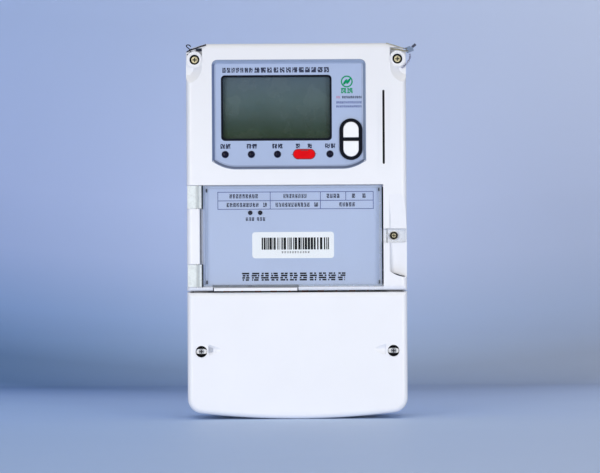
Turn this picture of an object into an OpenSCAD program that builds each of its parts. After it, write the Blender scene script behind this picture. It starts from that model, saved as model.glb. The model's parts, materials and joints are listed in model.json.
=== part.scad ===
// Three-phase prepaid electricity meter for wall mounting.
// Frame: +X right, +Z up, +Y towards the wall. The origin is the centre of the back face.
// Depths are measured from the wall to the front, so a depth d lies at y = -d.

/* [Case] */
// Width of the case
case_w = 170; // [164:1:180]
// Height of the case, from the top edge to the lowest point of the terminal cover
case_h = 290; // [286:1:300]
// Depth of the flat front face above the wall
face_d = 84.5; // [84:0.5:86]
// Height of the terminal cover below the seam
cover_h = 98; // [96:1:100]
// Wall thickness of the mouldings
wall = 2.5; // [2:0.1:2.8]
// Rounding of the front edges
edge_r = 4; // [2:0.5:5]
// Gap at the seam between upper case and terminal cover
seam = 1; // [0.6:0.1:1.2]
// Radius of the bowed bottom edge of the terminal cover
bow_r = 640; // [600:10:800]
// Corner radius at the bottom of the terminal cover
corner_r = 11.5; // [9:0.5:13]

/* [Display] */
// Width of the display panel
panel_w = 118.2; // [116:0.2:120]
// Height of the display panel
panel_h = 83.9; // [82:0.1:85]
// Height of the panel's centre above the case's centre
panel_z = 90.15; // [89:0.05:91]
// Width of the display aperture
lcd_w = 85.6; // [84:0.2:87]
// Height of the display aperture
lcd_h = 50.7; // [49:0.1:52]
// Radius of an indicator lamp
lamp_r = 2.5; // [2:0.1:3]
// Travel of a key
key_travel = 1; // [0.5:0.1:1.2]

/* [Flip door] */
// Clear width of the door bay
bay_w = 140.5; // [139:0.5:141]
// Clear height of the door bay
bay_h = 79; // [78:0.5:80]
// Thickness of the clear sheet
sheet_t = 2.2; // [1.5:0.1:2.4]
// Radius of the hinge pins
pin_r = 1; // [0.8:0.1:1.1]

/* [Terminals] */
// Number of main terminals
terminal_n = 10; // [4:1:10]
// Distance between main terminals
terminal_pitch = 12.4; // [12.2:0.1:12.8]
// Radius of a terminal's wire hole
wire_r = 3; // [2:0.1:3.2]
// Radius of an auxiliary terminal's wire hole
aux_r = 1.6; // [1:0.1:1.8]

/* [Wall fixing] */
// Distance between the two lower fixing holes
fixing_w = 150; // [148:1:152]
// Radius of the lower fixing holes
fixing_r = 2.75; // [2:0.25:3]
// Radius of the hanger's hole
hanger_r = 3; // [2.5:0.25:3.5]

/* [Hidden] */
$fn = 48;

half_w = case_w / 2;
top_z = case_h / 2;
low_z = -case_h / 2;
seam_z = low_z + cover_h;            // top edge of the terminal cover
rim_z = seam_z + seam;               // bottom edge of the upper case
rim_d = 38;                          // depth of the parting plane between base and covers
gasket_t = 1;
base_d = rim_d - gasket_t / 2;       // front edge of the base's walls
cover_d = rim_d + gasket_t / 2;      // rear edge of the upper case and the terminal cover
back_t = 3;                          // thickness of the base's back wall
inner_d = face_d - wall;             // inner side of the front wall
fit = 0.3;                           // gap around a fixed insert
eps = 0.01;

// Cavity shared by base and upper case, with the solid screw corners left out.
cavity_x = half_w - 3.5;
cavity_top = top_z - 3;
cavity_low = rim_z + wall + 0.3;
corner_x = 70;                       // inner side of a solid screw corner
corner_z = 112;                      // underside of a solid screw corner

// Sealing screws at the top corners
boss_x = 78.4;
boss_z = top_z - 12.2;
boss_r = 6.3;
boss_d = face_d - 2;
well_r = 3.9;
well_floor_d = 74;
washer_t = 1;
notch_x = 72.5;
notch_top = top_z - 3.5;
notch_d = 77.2;
slope_x = 69.8;                      // the top edge slopes down from here to the case's corner
scoop_r = 12.4;
scoop_z = top_z - 18.2;
scoop_t = 4.5;
scoop_slope = 6.5;                   // how far the scoop's side slopes in

// Display panel
panel_x = -5.7;
panel_d = 82;                        // front of the printed overlay
overlay_t = 0.6;
window_t = 1.8;
ledge_t = 2;
bevel_w = 1.5;                       // width of the bevel round the panel
ledge_w = 2.3;
panel_arc = 30;                      // radius of the lower corners
shoulder_r = 2.5;
panel_low = panel_z - panel_h / 2;
panel_top = panel_z + panel_h / 2;
pocket_d = panel_d - overlay_t - window_t;
lcd_x = -15.3;
lcd_z = top_z - 49.75;
lamp_z = top_z - 85.6;
lamp_x = [-55, -34.8, -14.6, 25.9];
ir_x = 6;
ir_w = 16.5;
ir_h = 7.1;
key_x = 42.2;
key_z = top_z - 74.3;
bezel_w = 17.6;
bezel_h = 32;
key_w = 11.8;
key_span = 26.8;                     // both keys with the bar between them
key_bar = 2.8;
key_back_d = 75.4;                   // back of a released key
board_d = 66;                        // back of the display board
board_t = 1.6;
display_board_screw_x = [-64.5, 53.2];
display_board_screw_z = [60, 120];

// Card slot
slot_x = 67.4;
slot_z = top_z - 64.9;
slot_w = 1.7;
slot_h = 57.2;
reader_w = 8;
reader_h = 62;
reader_d = 36;

// Door bay
bay_x0 = -73.6;
bay_x1 = bay_x0 + bay_w;
bay_top = 35.8;
bay_low = bay_top - bay_h;
bay_d = 77;                          // floor of the bay
bay_floor_t = 2.5;
door_x0 = bay_x0 + 2;
door_x1 = bay_x1 - 1.7;
door_gap = 0.4;
door_rim_d = 79.2;                   // rear edge of the door's rim
door_rim_t = 1.6;
hinge_x = -77;
hinge_d = 81;
knuckle_r = 3.3;
knuckles = [[17.4, bay_top], [bay_low, bay_low + 18]];
knuckle_gap = 0.4;
hinge_pocket_d = 71.5;
tab_x1 = 84;
tab_z = -3.9;
tab_h = 9.8;
tab_d = 79.3;
tab_t = 3;
door_screw_x = 74.9;
door_washer_r = 2.9;
door_insert_r = 3.3;
grip_x = 78.9;                       // inner end of the raised grip on the tab
nameplate_t = 1;
column_x = bay_x0 - 1.2;             // right side of the hinge column
column_r = 1.6;                      // rounding of the hinge column's edge
column_groove = 0.9;                 // groove beside the column
groove_w = 1;                        // groove beside the door's free edge

// Recess for the finger beside the door
thumb_x = 71.5;
thumb_top = 28;
thumb_low = -36;
thumb_r = 21;
thumb_t = 7;

// Battery hatch, in the bottom rim of the upper case
hatch_x0 = -65.1;
hatch_x1 = 1;
hatch_gap = 0.9;
hatch_d = 50;
hatch_t = 2.2;
battery_r = 7.1;
battery_z = -34.9;
battery_d = 64;
battery_x = -32;

// Terminal cover screws and their posts
cover_screw_x = 74.2;
cover_screw_z = low_z + 52.2;
cover_well_r = 4.5;
cover_well_d = 78;
dimple_x = 68.5;
post_r = 5;
post_d = 56;
fixing_z = -118;

// Screws that hold the upper case at its bottom rim
lower_screw_x = 76;
lower_screw_z = seam_z - 6.5;
lower_tab_t = 3.5;

// Terminal block
block_x = 65;
block_top = seam_z - 0.6;
block_ledge = -70;
block_low = -112;
block_d = 50;
block_back = 9;
barrier_t = 2.4;
sleeve_w = 9.6;
sleeve_top = -72;
sleeve_low = -106;
sleeve_d = 23;
wire_d = 16;                         // depth of the wire holes' axes
wire_l = 30;
terminal_screw_z = [-80, -96];
aux_d = 43;                          // depth of the auxiliary wire holes' axes
aux_half = 3.5;
aux_top = -51;
aux_low = -69.5;
aux_screw_z = -60;

// Circuit board
main_d = 28;
main_x = 76;
main_z0 = -38;
main_z1 = 106;
standoff_x = 70;
standoff_z = [-31, 98];
ct_z = -25;
ct_r = 9;
ct_h = 10;
ct_hole = 4;

// Wall hanger
hanger_w = 31.6;
hanger_z0 = 97;
hanger_z1 = 144;
hanger_d = 1.7;
hanger_t = 2;
hanger_hole_z = 137;
hanger_screw_z = 118;
hanger_travel = 14;

// Communication module, behind the nameplate
module_lamp_x = [-36, -28.3];
module_lamp_z = 14.3;
module_x0 = -62;
module_x1 = 0;
module_z0 = -22;
module_z1 = 32;
module_d = 52;

// ---------------------------------------------------------------- helpers

// Extrudes a front view from depth d0 forward to depth d1.
module front(d0, d1) translate([0, -d0, 0]) rotate([90, 0, 0]) linear_extrude(d1 - d0) children();

// A rectangle in the front view, from corner to corner.
module rect(x0, x1, z0, z1) translate([x0, z0]) square([x1 - x0, z1 - z0]);

// The same with round corners.
module round_rect(x0, x1, z0, z1, r) {
    rect(x0 + r, x1 - r, z0, z1);
    rect(x0, x1, z0 + r, z1 - r);
    for (x = [x0 + r, x1 - r], z = [z0 + r, z1 - r]) translate([x, z]) circle(r);
}

// An upright slot shape with round ends.
module stadium(x, z, w, h) {
    r = min(w, h) / 2;
    if (h > w) {
        rect(x - r, x + r, z - h / 2 + r, z + h / 2 - r);
        for (s = [-1, 1]) translate([x, z + s * (h / 2 - r)]) circle(r);
    } else {
        rect(x - w / 2 + r, x + w / 2 - r, z - r, z + r);
        for (s = [-1, 1]) translate([x + s * (w / 2 - r), z]) circle(r);
    }
}

// A block given by its X, depth and Z limits.
module block(x0, x1, d0, d1, z0, z1) translate([x0, -d1, z0]) cube([x1 - x0, d1 - d0, z1 - z0]);

// A round bar along the depth.
module bar(x, z, r, d0, d1) translate([x, -d0, z]) rotate([90, 0, 0]) cylinder(r = r, h = d1 - d0);

// A round bar along X, and one along Z.
module bar_x(x0, x1, d, z, r) translate([x0, -d, z]) rotate([0, 90, 0]) cylinder(r = r, h = x1 - x0);
module bar_z(x, d, r, z0, z1) translate([x, -d, z0]) cylinder(r = r, h = z1 - z0);

module mirror_x() {
    children();
    mirror([1, 0, 0]) children();
}

// A shell's outer skin: a convex front view whose front edge is rounded with radius r.
module soft_skin(d0, d1, r) hull() {
    steps = 6;
    front(d0, d1 - r) children();
    for (i = [1:steps]) {
        a = 90 * i / steps;
        front(d1 - r, d1 - r + r * sin(a)) offset(delta = -r * (1 - cos(a))) children();
    }
}

// A tube swept along points, with n sides; each ring faces along the path.
function unit(v) = v / norm(v);
function tangent(p, i) = unit(p[min(i + 1, len(p) - 1)] - p[max(i - 1, 0)]);
function side_of(t) = abs(t[1]) < 0.9 ? unit(cross(t, [0, 1, 0])) : unit(cross(t, [1, 0, 0]));
module tube(p, r, n = 8) {
    m = len(p);
    rings = [for (i = [0:m - 1]) let (t = tangent(p, i), u = side_of(t), v = cross(t, u))
        for (k = [0:n - 1]) p[i] + r * (cos(360 * k / n) * u + sin(360 * k / n) * v)];
    sides = [for (i = [0:m - 2], k = [0:n - 1]) let (a = i * n + k, b = i * n + (k + 1) % n)
        each [[a, b, b + n], [a, b + n, a + n]]];
    polyhedron(rings, concat(sides, [[for (k = [n - 1:-1:0]) k], [for (k = [0:n - 1]) (m - 1) * n + k]]));
}

// A machine screw along the depth, head to the front, with a cross slot.
module screw(x, z, head_r, head_h, shank_r, d_seat, d_end, slot = 0.5) difference() {
    union() {
        bar(x, z, head_r, d_seat, d_seat + head_h);
        bar(x, z, shank_r, d_end, d_seat);
    }
    for (a = [0, 90]) translate([x, -d_seat - head_h, z]) rotate([0, a, 0])
        cube([head_r * 1.3, head_h, slot * 2], center = true);
}

// ---------------------------------------------------------------- outlines

// The cavity's front view, grown by g.
module cavity_2d(g = 0) difference() {
    rect(-cavity_x - g, cavity_x + g, cavity_low - g, cavity_top + g);
    for (s = [-1, 1]) translate([s * (corner_x + g + 20), corner_z + g + 20]) square(40, center = true);
}

// The case's front view; its top corners slope.
module case_2d() polygon([[-half_w, rim_z], [-half_w, top_z - 6.7], [2.6 - half_w, top_z - 3.8],
                          [-slope_x, top_z], [slope_x, top_z], [half_w - 2.6, top_z - 3.8],
                          [half_w, top_z - 6.7], [half_w, rim_z]]);

// The terminal cover: straight sides, a bowed bottom and round corners that meet the bow smoothly.
module cover_2d() {
    cx = half_w - corner_r;
    cz = low_z + bow_r - sqrt(pow(bow_r - corner_r, 2) - cx * cx);
    touch_x = cx * bow_r / (bow_r - corner_r);
    intersection() {
        translate([0, low_z + bow_r]) circle(bow_r, $fn = 720);
        rect(-touch_x, touch_x, low_z, seam_z);
    }
    rect(-half_w, half_w, cz, seam_z);
    for (s = [-1, 1]) translate([s * cx, cz]) circle(corner_r);
}

module base_2d() {
    x = half_w - 0.7;
    difference() {
        polygon([[-x, 138], [-82, 140.8], [-69.5, 144.8], [69.5, 144.8], [82, 140.8], [x, 138],
                 [x, -130], [x - 8, -137], [8 - x, -137], [-x, -130]]);
        rect(-62, 62, -138, -134);
    }
}

// The display panel: small round shoulders above, wide arcs below, shrunk by g.
module panel_2d(g = 0) {
    x = panel_w / 2 - g;
    run = 18.5;
    intersection() {
        translate([panel_x, 0]) round_rect(-x, x, panel_low + g, panel_top - g, shoulder_r);
        union() {
            translate([panel_x, 0]) rect(run - panel_w / 2, panel_w / 2 - run, panel_low, panel_top);
            translate([panel_x, 0]) rect(-x, x, panel_low + 7, panel_top);
            for (s = [-1, 1]) translate([panel_x + s * (panel_w / 2 - run), panel_low + panel_arc])
                circle(panel_arc - g);
        }
    }
}

// A key's front view: half of an upright stadium, above or below the bar.
module key_2d(up, g = 0) intersection() {
    stadium(key_x, key_z, key_w + 2 * g, key_span + 2 * g);
    if (up > 0) rect(key_x - 10, key_x + 10, key_z + key_bar / 2 - g, key_z + 20);
    else rect(key_x - 10, key_x + 10, key_z - 20, key_z - key_bar / 2 + g);
}

function terminal_x(i) = (i - (terminal_n - 1) / 2) * terminal_pitch;

// ---------------------------------------------------------------- case

module base_housing() color("whitesmoke") difference() {
    union() {
        difference() {
            front(0, base_d) base_2d();
            front(back_t, base_d + 1) cavity_2d();
            front(back_t, base_d + 1) rect(-half_w + 3.2, half_w - 3.2, -134, rim_z - 0.2);
            front(back_t, base_d + 1) rect(-62, 62, -138, -133);
            block(-60, 60, 10, 23, rim_z - 1, cavity_low + 1);
        }
        mirror_x() {
            bar(cover_screw_x, cover_screw_z, post_r, back_t - 1, post_d);
            bar(lower_screw_x, lower_screw_z, 4.5, back_t - 1, base_d);
            bar(fixing_w / 2, fixing_z, 6.5, back_t - 1, back_t + 4);
            for (z = standoff_z) bar(standoff_x, z, 3.5, back_t - 1, main_d);
        }
        block(-20, 20, back_t - 1, 7, 92, cavity_top + 1);
        block(-10, 10, back_t - 1, 12.5, 124, cavity_top + 1);
        bar(0, hanger_screw_z, 4.5, back_t - 1, 12);
    }
    // hanger pocket, the room for the head of the wall screw, and the retaining screw's hole
    block(-16, 16, -1, hanger_d + hanger_t + 0.2, 94, top_z);
    block(-7, 7, 3, 10.5, 127.5, top_z);
    bar(0, hanger_screw_z, 1.6, 3, 10);
    mirror_x() {
        bar(fixing_w / 2, fixing_z, fixing_r, -1, back_t + 5);
        bar(cover_screw_x, cover_screw_z, 3.2, post_d - 12, post_d + 1);
        bar(cover_screw_x, cover_screw_z, 2.2, 20, post_d);
        bar(lower_screw_x, lower_screw_z, 1.8, 16, base_d + 1);
        bar(boss_x, boss_z, 3.2, base_d - 12, base_d + 1);
        bar(boss_x, boss_z, 2.2, 12, base_d);
        for (z = standoff_z) bar(standoff_x, z, 1.2, 14, main_d + 1);
    }
}

module case_gasket() color("dimgray") difference() {
    front(base_d, cover_d) cavity_2d(1.8);
    front(base_d - 1, cover_d + 1) cavity_2d(0.2);
}

// Cuts that shape a top corner: the notch above the screw boss and the scoop below it.
module corner_cut() {
    front(notch_d, face_d + 1) difference() {
        rect(notch_x, half_w + 1, boss_z, notch_top);
        translate([boss_x, boss_z]) circle(boss_r);
    }
    difference() {
        intersection() {
            translate([half_w, scoop_t - face_d, scoop_z]) rotate([90, 0, 0])
                cylinder(r1 = scoop_r - scoop_slope, r2 = scoop_r, h = scoop_t + eps);
            block(notch_x, half_w + 1, face_d - scoop_t - 1, face_d + 1, 100, notch_top);
        }
        bar(boss_x, boss_z, boss_r, face_d - scoop_t - 2, face_d + 2);
    }
    front(boss_d, face_d + 1) translate([boss_x, boss_z]) circle(boss_r + eps);
}

// A crescent groove along the recess's round lower end.
module thumb_groove() front(face_d - thumb_t - 2, face_d + 1) intersection() {
    difference() {
        translate([half_w, thumb_low + thumb_r]) circle(thumb_r);
        translate([half_w - 1.5, thumb_low + thumb_r + 1.2]) circle(thumb_r);
    }
    rect(thumb_x, half_w - 2, thumb_low - 1, thumb_low + 6);
}

// The sloping thumb recess beside the door, with a round lower end.
module thumb_cut() intersection() {
    front(face_d - thumb_t - 1, face_d + 1) union() {
        intersection() {
            translate([half_w, thumb_low + thumb_r]) circle(thumb_r);
            rect(thumb_x, half_w + 1, thumb_low - 1, thumb_low + thumb_r);
        }
        rect(thumb_x, half_w + 1, thumb_low + thumb_r - 1, thumb_top);
    }
    translate([thumb_x - 1, 0, 0]) rotate([90, 0, 90]) linear_extrude(half_w)
        polygon([[-face_d, thumb_top], [-face_d - 2, thumb_top], [-face_d - 2, thumb_low - 2],
                 [-face_d + thumb_t, thumb_low - 2]]);
}

module upper_case() color("white") difference() {
    union() {
        difference() {
            soft_skin(cover_d, face_d, edge_r) case_2d();
            front(cover_d - 1, inner_d) cavity_2d();
        }
        // frame round the panel, bay and hinge column
        front(pocket_d - ledge_t, inner_d + 0.5) panel_2d(-2.5);
        block(bay_x0 - 2.5, bay_x1 + 2.5, bay_d - bay_floor_t, inner_d + 0.5, rim_z + 1, bay_top + 2.5);
        block(-half_w + 1, bay_x0, hinge_pocket_d - 2.5, inner_d + 0.5, rim_z + 1, 42);
        block(corner_x, half_w - 1, face_d - thumb_t - 2.5, inner_d + 0.5, thumb_low - 4, thumb_top + 2);
        bar(door_screw_x, tab_z, 5.1, 66, 80);
        // raised rim of the card slot
        front(inner_d, face_d + 0.5) difference() {
            round_rect(slot_x - 4.6, slot_x + 4.6, slot_z - 31.4, slot_z + 31.4, 2);
            round_rect(slot_x - 3.8, slot_x + 3.8, slot_z - 30.6, slot_z + 30.6, 1.4);
        }
        mirror_x() block(corner_x, cavity_x - 0.4, cover_d, cover_d + lower_tab_t,
                         lower_screw_z - 5.5, rim_z + 1);
        for (x = display_board_screw_x, z = display_board_screw_z)
            bar(x, z, 2.4, board_d + board_t, pocket_d - 1);
    }
    // panel pocket, with a bevelled mouth and a ledge that carries the window
    hull() {
        front(panel_d, panel_d + eps) panel_2d(bevel_w);
        front(face_d, face_d + eps) panel_2d();
    }
    front(pocket_d, panel_d + eps) panel_2d(bevel_w);
    front(pocket_d - ledge_t - 1, face_d + 1) panel_2d(ledge_w);
    for (x = display_board_screw_x, z = display_board_screw_z)
        bar(x, z, 1.1, board_d, pocket_d - 2.2);
    // card slot
    front(inner_d - 1, face_d + 1) stadium(slot_x, slot_z, slot_w, slot_h);
    // door bay, hinge pockets, pin holes and the tab's seat
    front(bay_d, face_d + 1) rect(bay_x0, bay_x1, bay_low, bay_top);
    front(bay_d - bay_floor_t - 1, bay_d + 1) {
        rect(module_x0 - fit, module_x1 + fit, module_z0 - fit, module_z1 + fit);
        rect(bay_x1 - groove_w, bay_x1, bay_low + 2, bay_top - 2);
        rect(column_x, column_x + column_groove, knuckles[1][1] - 1, knuckles[0][0] + 1);
    }
    block(column_x, bay_x0 + 1, bay_d, face_d + 1, knuckles[1][1] - 1, knuckles[0][0] + 1);
    difference() {
        block(column_x - column_r, column_x + 1, face_d - column_r, face_d + 1,
              knuckles[1][1] - 1, knuckles[0][0] + 1);
        bar_z(column_x - column_r, face_d - column_r, column_r, -40, 40);
    }
    for (k = knuckles) block(-half_w - 1, bay_x0 + 1, hinge_pocket_d, face_d + 1, k[0], k[1]);
    bar_z(hinge_x, hinge_d, pin_r, 9, 40);
    bar_z(hinge_x, hinge_d, pin_r, rim_z + 0.8, -17);
    block(bay_x1 - 1, half_w + 1, tab_d - 0.3, face_d + 1,
          tab_z - tab_h / 2 - 0.6, tab_z + tab_h / 2 + 0.6);
    bar(door_screw_x, tab_z, door_insert_r, 68, 80);
    thumb_cut();
    thumb_groove();
    mirror_x() {
        corner_cut();
        bar(boss_x, boss_z, well_r, well_floor_d, face_d + 1);
        bar(boss_x, boss_z, 2.2, cover_d - 1, face_d);
        bar(lower_screw_x, lower_screw_z, 2.1, cover_d - 1, cover_d + lower_tab_t + 1);
    }
    // opening for the battery hatch
    block(hatch_x0, hatch_x1, hatch_d, face_d + 1, rim_z - 1, bay_low - 0.2);
    block(hatch_x0, hatch_x1, hatch_d, bay_d - bay_floor_t, rim_z - 1, cavity_low + 1);
}

module case_screws() color("goldenrod") mirror_x()
    screw(boss_x, boss_z, 2.5, 4, 1.9, well_floor_d + washer_t, 22, 0.45);

// Rubber washers that seal the wells under the screw heads.
module case_screw_washers() color("black") mirror_x()
    insert(boss_x, boss_z, well_r - 0.1, 2, well_floor_d, well_floor_d + washer_t);

// The two screws at the upper case's bottom rim, and the one that pinches the hanger.
module base_screws() color("silver") {
    mirror_x() screw(lower_screw_x, lower_screw_z, 3.4, 2.2, 1.75, cover_d + lower_tab_t, 18);
    bar(0, hanger_screw_z, 3.8, 0.2, 1.6);
    bar(0, hanger_screw_z, 2.1, 1.6, 3.85);
    bar(0, hanger_screw_z, 1.55, 3.85, 9.5);
}

module insert(x, z, r, bore, d0, d1) difference() {
    bar(x, z, r, d0, d1);
    bar(x, z, bore, d0 - 1, d1 + 1);
}

module threaded_inserts() color("goldenrod") {
    mirror_x() {
        insert(boss_x, boss_z, 3.2, 1.95, base_d - 12, base_d - 0.5);
        insert(cover_screw_x, cover_screw_z, 3.2, 2.05, post_d - 12, post_d);
    }
    insert(door_screw_x, tab_z, door_insert_r, 1.7, 68, 78.6);
}

// ---------------------------------------------------------------- display

module panel_cuts(g) {
    stadium(key_x, key_z, bezel_w + 2 * g, bezel_h + 2 * g);
    stadium(ir_x, lamp_z, ir_w + 2 * g, ir_h + 2 * g);
    for (x = lamp_x) translate([x, lamp_z]) circle(lamp_r + g);
}

module panel_overlay() color("lightsteelblue") difference() {
    front(panel_d - overlay_t, panel_d) panel_2d(bevel_w + 0.1);
    front(panel_d - overlay_t - 1, panel_d + 1) {
        panel_cuts(0.1);
        round_rect(lcd_x - lcd_w / 2, lcd_x + lcd_w / 2, lcd_z - lcd_h / 2, lcd_z + lcd_h / 2, 3);
    }
}

module display_window() color("lightcyan", 0.4) difference() {
    front(pocket_d, panel_d - overlay_t) panel_2d(bevel_w + 0.1);
    front(pocket_d - 1, panel_d) panel_cuts(0.1);
}

module lcd_rect(g)
    rect(lcd_x - lcd_w / 2 - g, lcd_x + lcd_w / 2 + g, lcd_z - lcd_h / 2 - g, lcd_z + lcd_h / 2 + g);

module lcd_frame() color("black") difference() {
    front(board_d + board_t, pocket_d - 0.3) lcd_rect(2.2);
    front(board_d, pocket_d) lcd_rect(-1.4);
    front(board_d, 76.2) lcd_rect(1.2);
}

module lcd_glass() color("slategray") front(72.4, 76) lcd_rect(1);

module lcd_backlight() color("ivory") front(board_d + board_t, 72.4) lcd_rect(1);

module display_board() color("darkgreen") difference() {
    block(-67.3, 56, board_d, board_d + board_t, 50, 130.5);
    for (x = display_board_screw_x, z = display_board_screw_z)
        bar(x, z, 1.2, board_d - 1, board_d + board_t + 1);
}

// Four lamps on the display board and two small ones on the communication module.
module indicator_lamps() color("midnightblue") {
    h = panel_d - board_d - board_t;
    for (x = lamp_x) translate([x, -board_d - board_t, lamp_z]) rotate([90, 0, 0]) rotate_extrude()
        polygon([[0, 0], [lamp_r, 0], [lamp_r, h], [lamp_r - 0.3, h + 0.45], [lamp_r - 1.1, h + 0.85],
                 [0, h + 1]]);
    for (x = module_lamp_x) bar(x, module_lamp_z, 1.7, 76.6, bay_d + nameplate_t + 0.3);
}

module infrared_window() color("red") front(pocket_d, panel_d + 0.5) stadium(ir_x, lamp_z, ir_w, ir_h);

module infrared_diodes() color("purple") for (s = [-1, 1])
    bar(ir_x + s * 4, lamp_z, 2.4, board_d + board_t, pocket_d - 0.5);

module key_bezel() color("black") difference() {
    front(pocket_d - 2, panel_d + 1.6) stadium(key_x, key_z, bezel_w, bezel_h);
    front(pocket_d - 3, panel_d + 3) {
        key_2d(1, 0.3);
        key_2d(-1, 0.3);
    }
}

// A key: cap and, behind the bezel, a wider foot that keeps it in.
module key(up) color("white") {
    front(key_back_d, face_d) key_2d(up);
    front(key_back_d, key_back_d + 1.2) key_2d(up, 0.9);
}

module key_switches() color("silver") for (s = [-1, 1]) {
    z = key_z + s * (key_bar / 2 + 6);
    block(key_x - 3, key_x + 3, board_d + board_t, 71.5, z - 3, z + 3);
    bar(key_x, z, 1.7, 71.5, key_back_d - key_travel - 0.3);
}

// ---------------------------------------------------------------- card reader

module card_reader() color("black") difference() {
    block(slot_x - reader_w / 2, slot_x + reader_w / 2, reader_d, inner_d - 0.2,
          slot_z - reader_h / 2, slot_z + reader_h / 2);
    block(slot_x - 0.75, slot_x + 0.75, reader_d + 3, inner_d, slot_z - 28.2, slot_z + 28.2);
}

// ---------------------------------------------------------------- door bay

module nameplate() color("lightsteelblue") front(bay_d, bay_d + nameplate_t) difference() {
    rect(bay_x0 + 1, bay_x1 - groove_w - 0.2, bay_low + 0.6, bay_top - 0.6);
    for (x = module_lamp_x) translate([x, module_lamp_z]) circle(1.8);
}

module barcode_label() color("white") front(bay_d + nameplate_t, bay_d + nameplate_t + 0.2)
    round_rect(-34.6, 28.7, -21, -0.7, 2.3);

module comm_module() color("dimgray") difference() {
    block(module_x0, module_x1, module_d, bay_d - 0.4, module_z0, module_z1);
    block(module_x0 + 2, module_x1 - 2, module_d - 1, bay_d - 3, module_z0 + 2, module_z1 - 2);
}

module module_headers() color("black") for (x = [-50, -12])
    block(x - 2.5, x + 2.5, main_d + board_t, 51.5, -16, 24);

// A prism along X, from its outline in the [y, z] plane.
module prism_x(x0, x1, outline)
    translate([x0, 0, 0]) rotate([90, 0, 90]) linear_extrude(x1 - x0) polygon(outline);

// The clear door: a bevelled sheet with a rim, two hinge knuckles and the tab for the sealing screw.
module flip_door() color("lightcyan", 0.35) difference() {
    union() {
        front(face_d - sheet_t, face_d) rect(door_x0, door_x1, bay_low + door_gap, bay_top - door_gap);
        front(door_rim_d, face_d - 1) difference() {
            rect(door_x0, door_x1, bay_low + door_gap, bay_top - door_gap);
            rect(door_x0 + door_rim_t, door_x1 - door_rim_t, bay_low + door_gap + door_rim_t,
                 bay_top - door_gap - door_rim_t);
        }
        for (k = knuckles) {
            bar_z(hinge_x, hinge_d, knuckle_r, k[0] + knuckle_gap, k[1] - knuckle_gap);
            block(-84.2, door_x0 + 1, face_d - 1.6, face_d, k[0] + knuckle_gap, k[1] - knuckle_gap);
            block(hinge_x, door_x0 + 1, hinge_d, face_d, k[0] + knuckle_gap, k[1] - knuckle_gap);
        }
        block(door_x1 - 1, tab_x1, tab_d, tab_d + tab_t, tab_z - tab_h / 2, tab_z + tab_h / 2);
        bar(door_screw_x, tab_z, 4.2, tab_d, tab_d + tab_t + 0.4);
        front(tab_d, tab_d + tab_t + 1) difference() {
            rect(grip_x, tab_x1, tab_z - tab_h / 2, tab_z + tab_h / 2);
            rect(grip_x + 0.9, tab_x1 - 0.9, tab_z - tab_h / 2 + 0.9, tab_z + tab_h / 2 - 0.9);
        }
    }
    // bevels along the top, the bottom and the free side
    door_top = bay_top - door_gap;
    door_low = bay_low + door_gap;
    prism_x(door_x0, door_x1 + 1,
            [[-face_d - 1, door_top - 4.6], [-face_d + 1.9, door_top + 1], [-face_d - 1, door_top + 1]]);
    prism_x(door_x0, door_x1 + 1,
            [[-face_d - 1, door_low + 2.5], [-face_d + 1.5, door_low], [-face_d - 1, door_low]]);
    translate([0, 0, bay_low - 1]) linear_extrude(bay_h + 2)
        polygon([[door_x1 - 2.5, -face_d - 1], [door_x1 + eps, -face_d + 1.5 + eps],
                 [door_x1 + eps, -face_d - 1]]);
    for (k = knuckles) bar_z(hinge_x, hinge_d, pin_r + 0.05, k[0] - 1, k[1] + 1);
    bar(door_screw_x, tab_z, 1.6, tab_d - 1, tab_d + tab_t + 2);
}

module hinge_pins() color("silver") {
    bar_z(hinge_x, hinge_d, pin_r, 9.5, 39.5);
    bar_z(hinge_x, hinge_d, pin_r, rim_z + 1, -17.5);
}

// A captive sealing screw: a drum head with a slot across it and a wire hole through it.
module sealing_screw(x, z, head_r, head_h, shank_r, d_seat, d_end, hole_r) difference() {
    union() {
        bar(x, z, head_r, d_seat, d_seat + head_h);
        bar(x, z, shank_r, d_end, d_seat);
    }
    translate([x, -d_seat - head_h, z]) rotate([0, 45, 0])
        cube([head_r * 3, head_h * 0.7, 0.8], center = true);
    bar_x(x - head_r - 1, x + head_r + 1, d_seat + head_h * 0.35, z, hole_r);
}

module door_screw() color("goldenrod")
    sealing_screw(door_screw_x, tab_z, 1.9, 1.6, 1.5, tab_d + tab_t + 1, 75.6, 0.35);

module door_screw_washer() color("black")
    insert(door_screw_x, tab_z, door_washer_r, 1.6, tab_d + tab_t + 0.4, tab_d + tab_t + 1);

// ---------------------------------------------------------------- battery

module battery_hatch() color("white") {
    block(hatch_x0 + hatch_gap, hatch_x1 - hatch_gap, hatch_d + 0.4, face_d, rim_z, rim_z + hatch_t);
    block(hatch_x0 + hatch_gap, hatch_x1 - hatch_gap, bay_d + 1, face_d, rim_z, bay_low - 0.5);
}

module battery_holder() color("black") difference() {
    block(-62, -2, 55.5, 73.5, cavity_low + 0.3, -26.2);
    bar_x(-58.5, -5.5, battery_d, battery_z, battery_r + 0.3);
    block(-58.5, -5.5, battery_d - 5, battery_d + 5, cavity_low - 1, battery_z);
}

module backup_battery() color("royalblue") {
    bar_x(battery_x - 24.6, battery_x + 24.6, battery_d, battery_z, battery_r);
    bar_x(battery_x + 24.6, battery_x + 25.6, battery_d, battery_z, 3);
}

module battery_contacts() color("silver") for (x = [-58, -6])
    block(x - 0.25, x + 0.25, battery_d - 4, battery_d + 4, battery_z - 5, battery_z + 5);

// ---------------------------------------------------------------- terminal cover

module dimple() translate([dimple_x, -face_d - 3, cover_screw_z + 1.2]) rotate([0, -90, 0])
    cylinder(r1 = 5.2, r2 = 2.6, h = 11);

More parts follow.
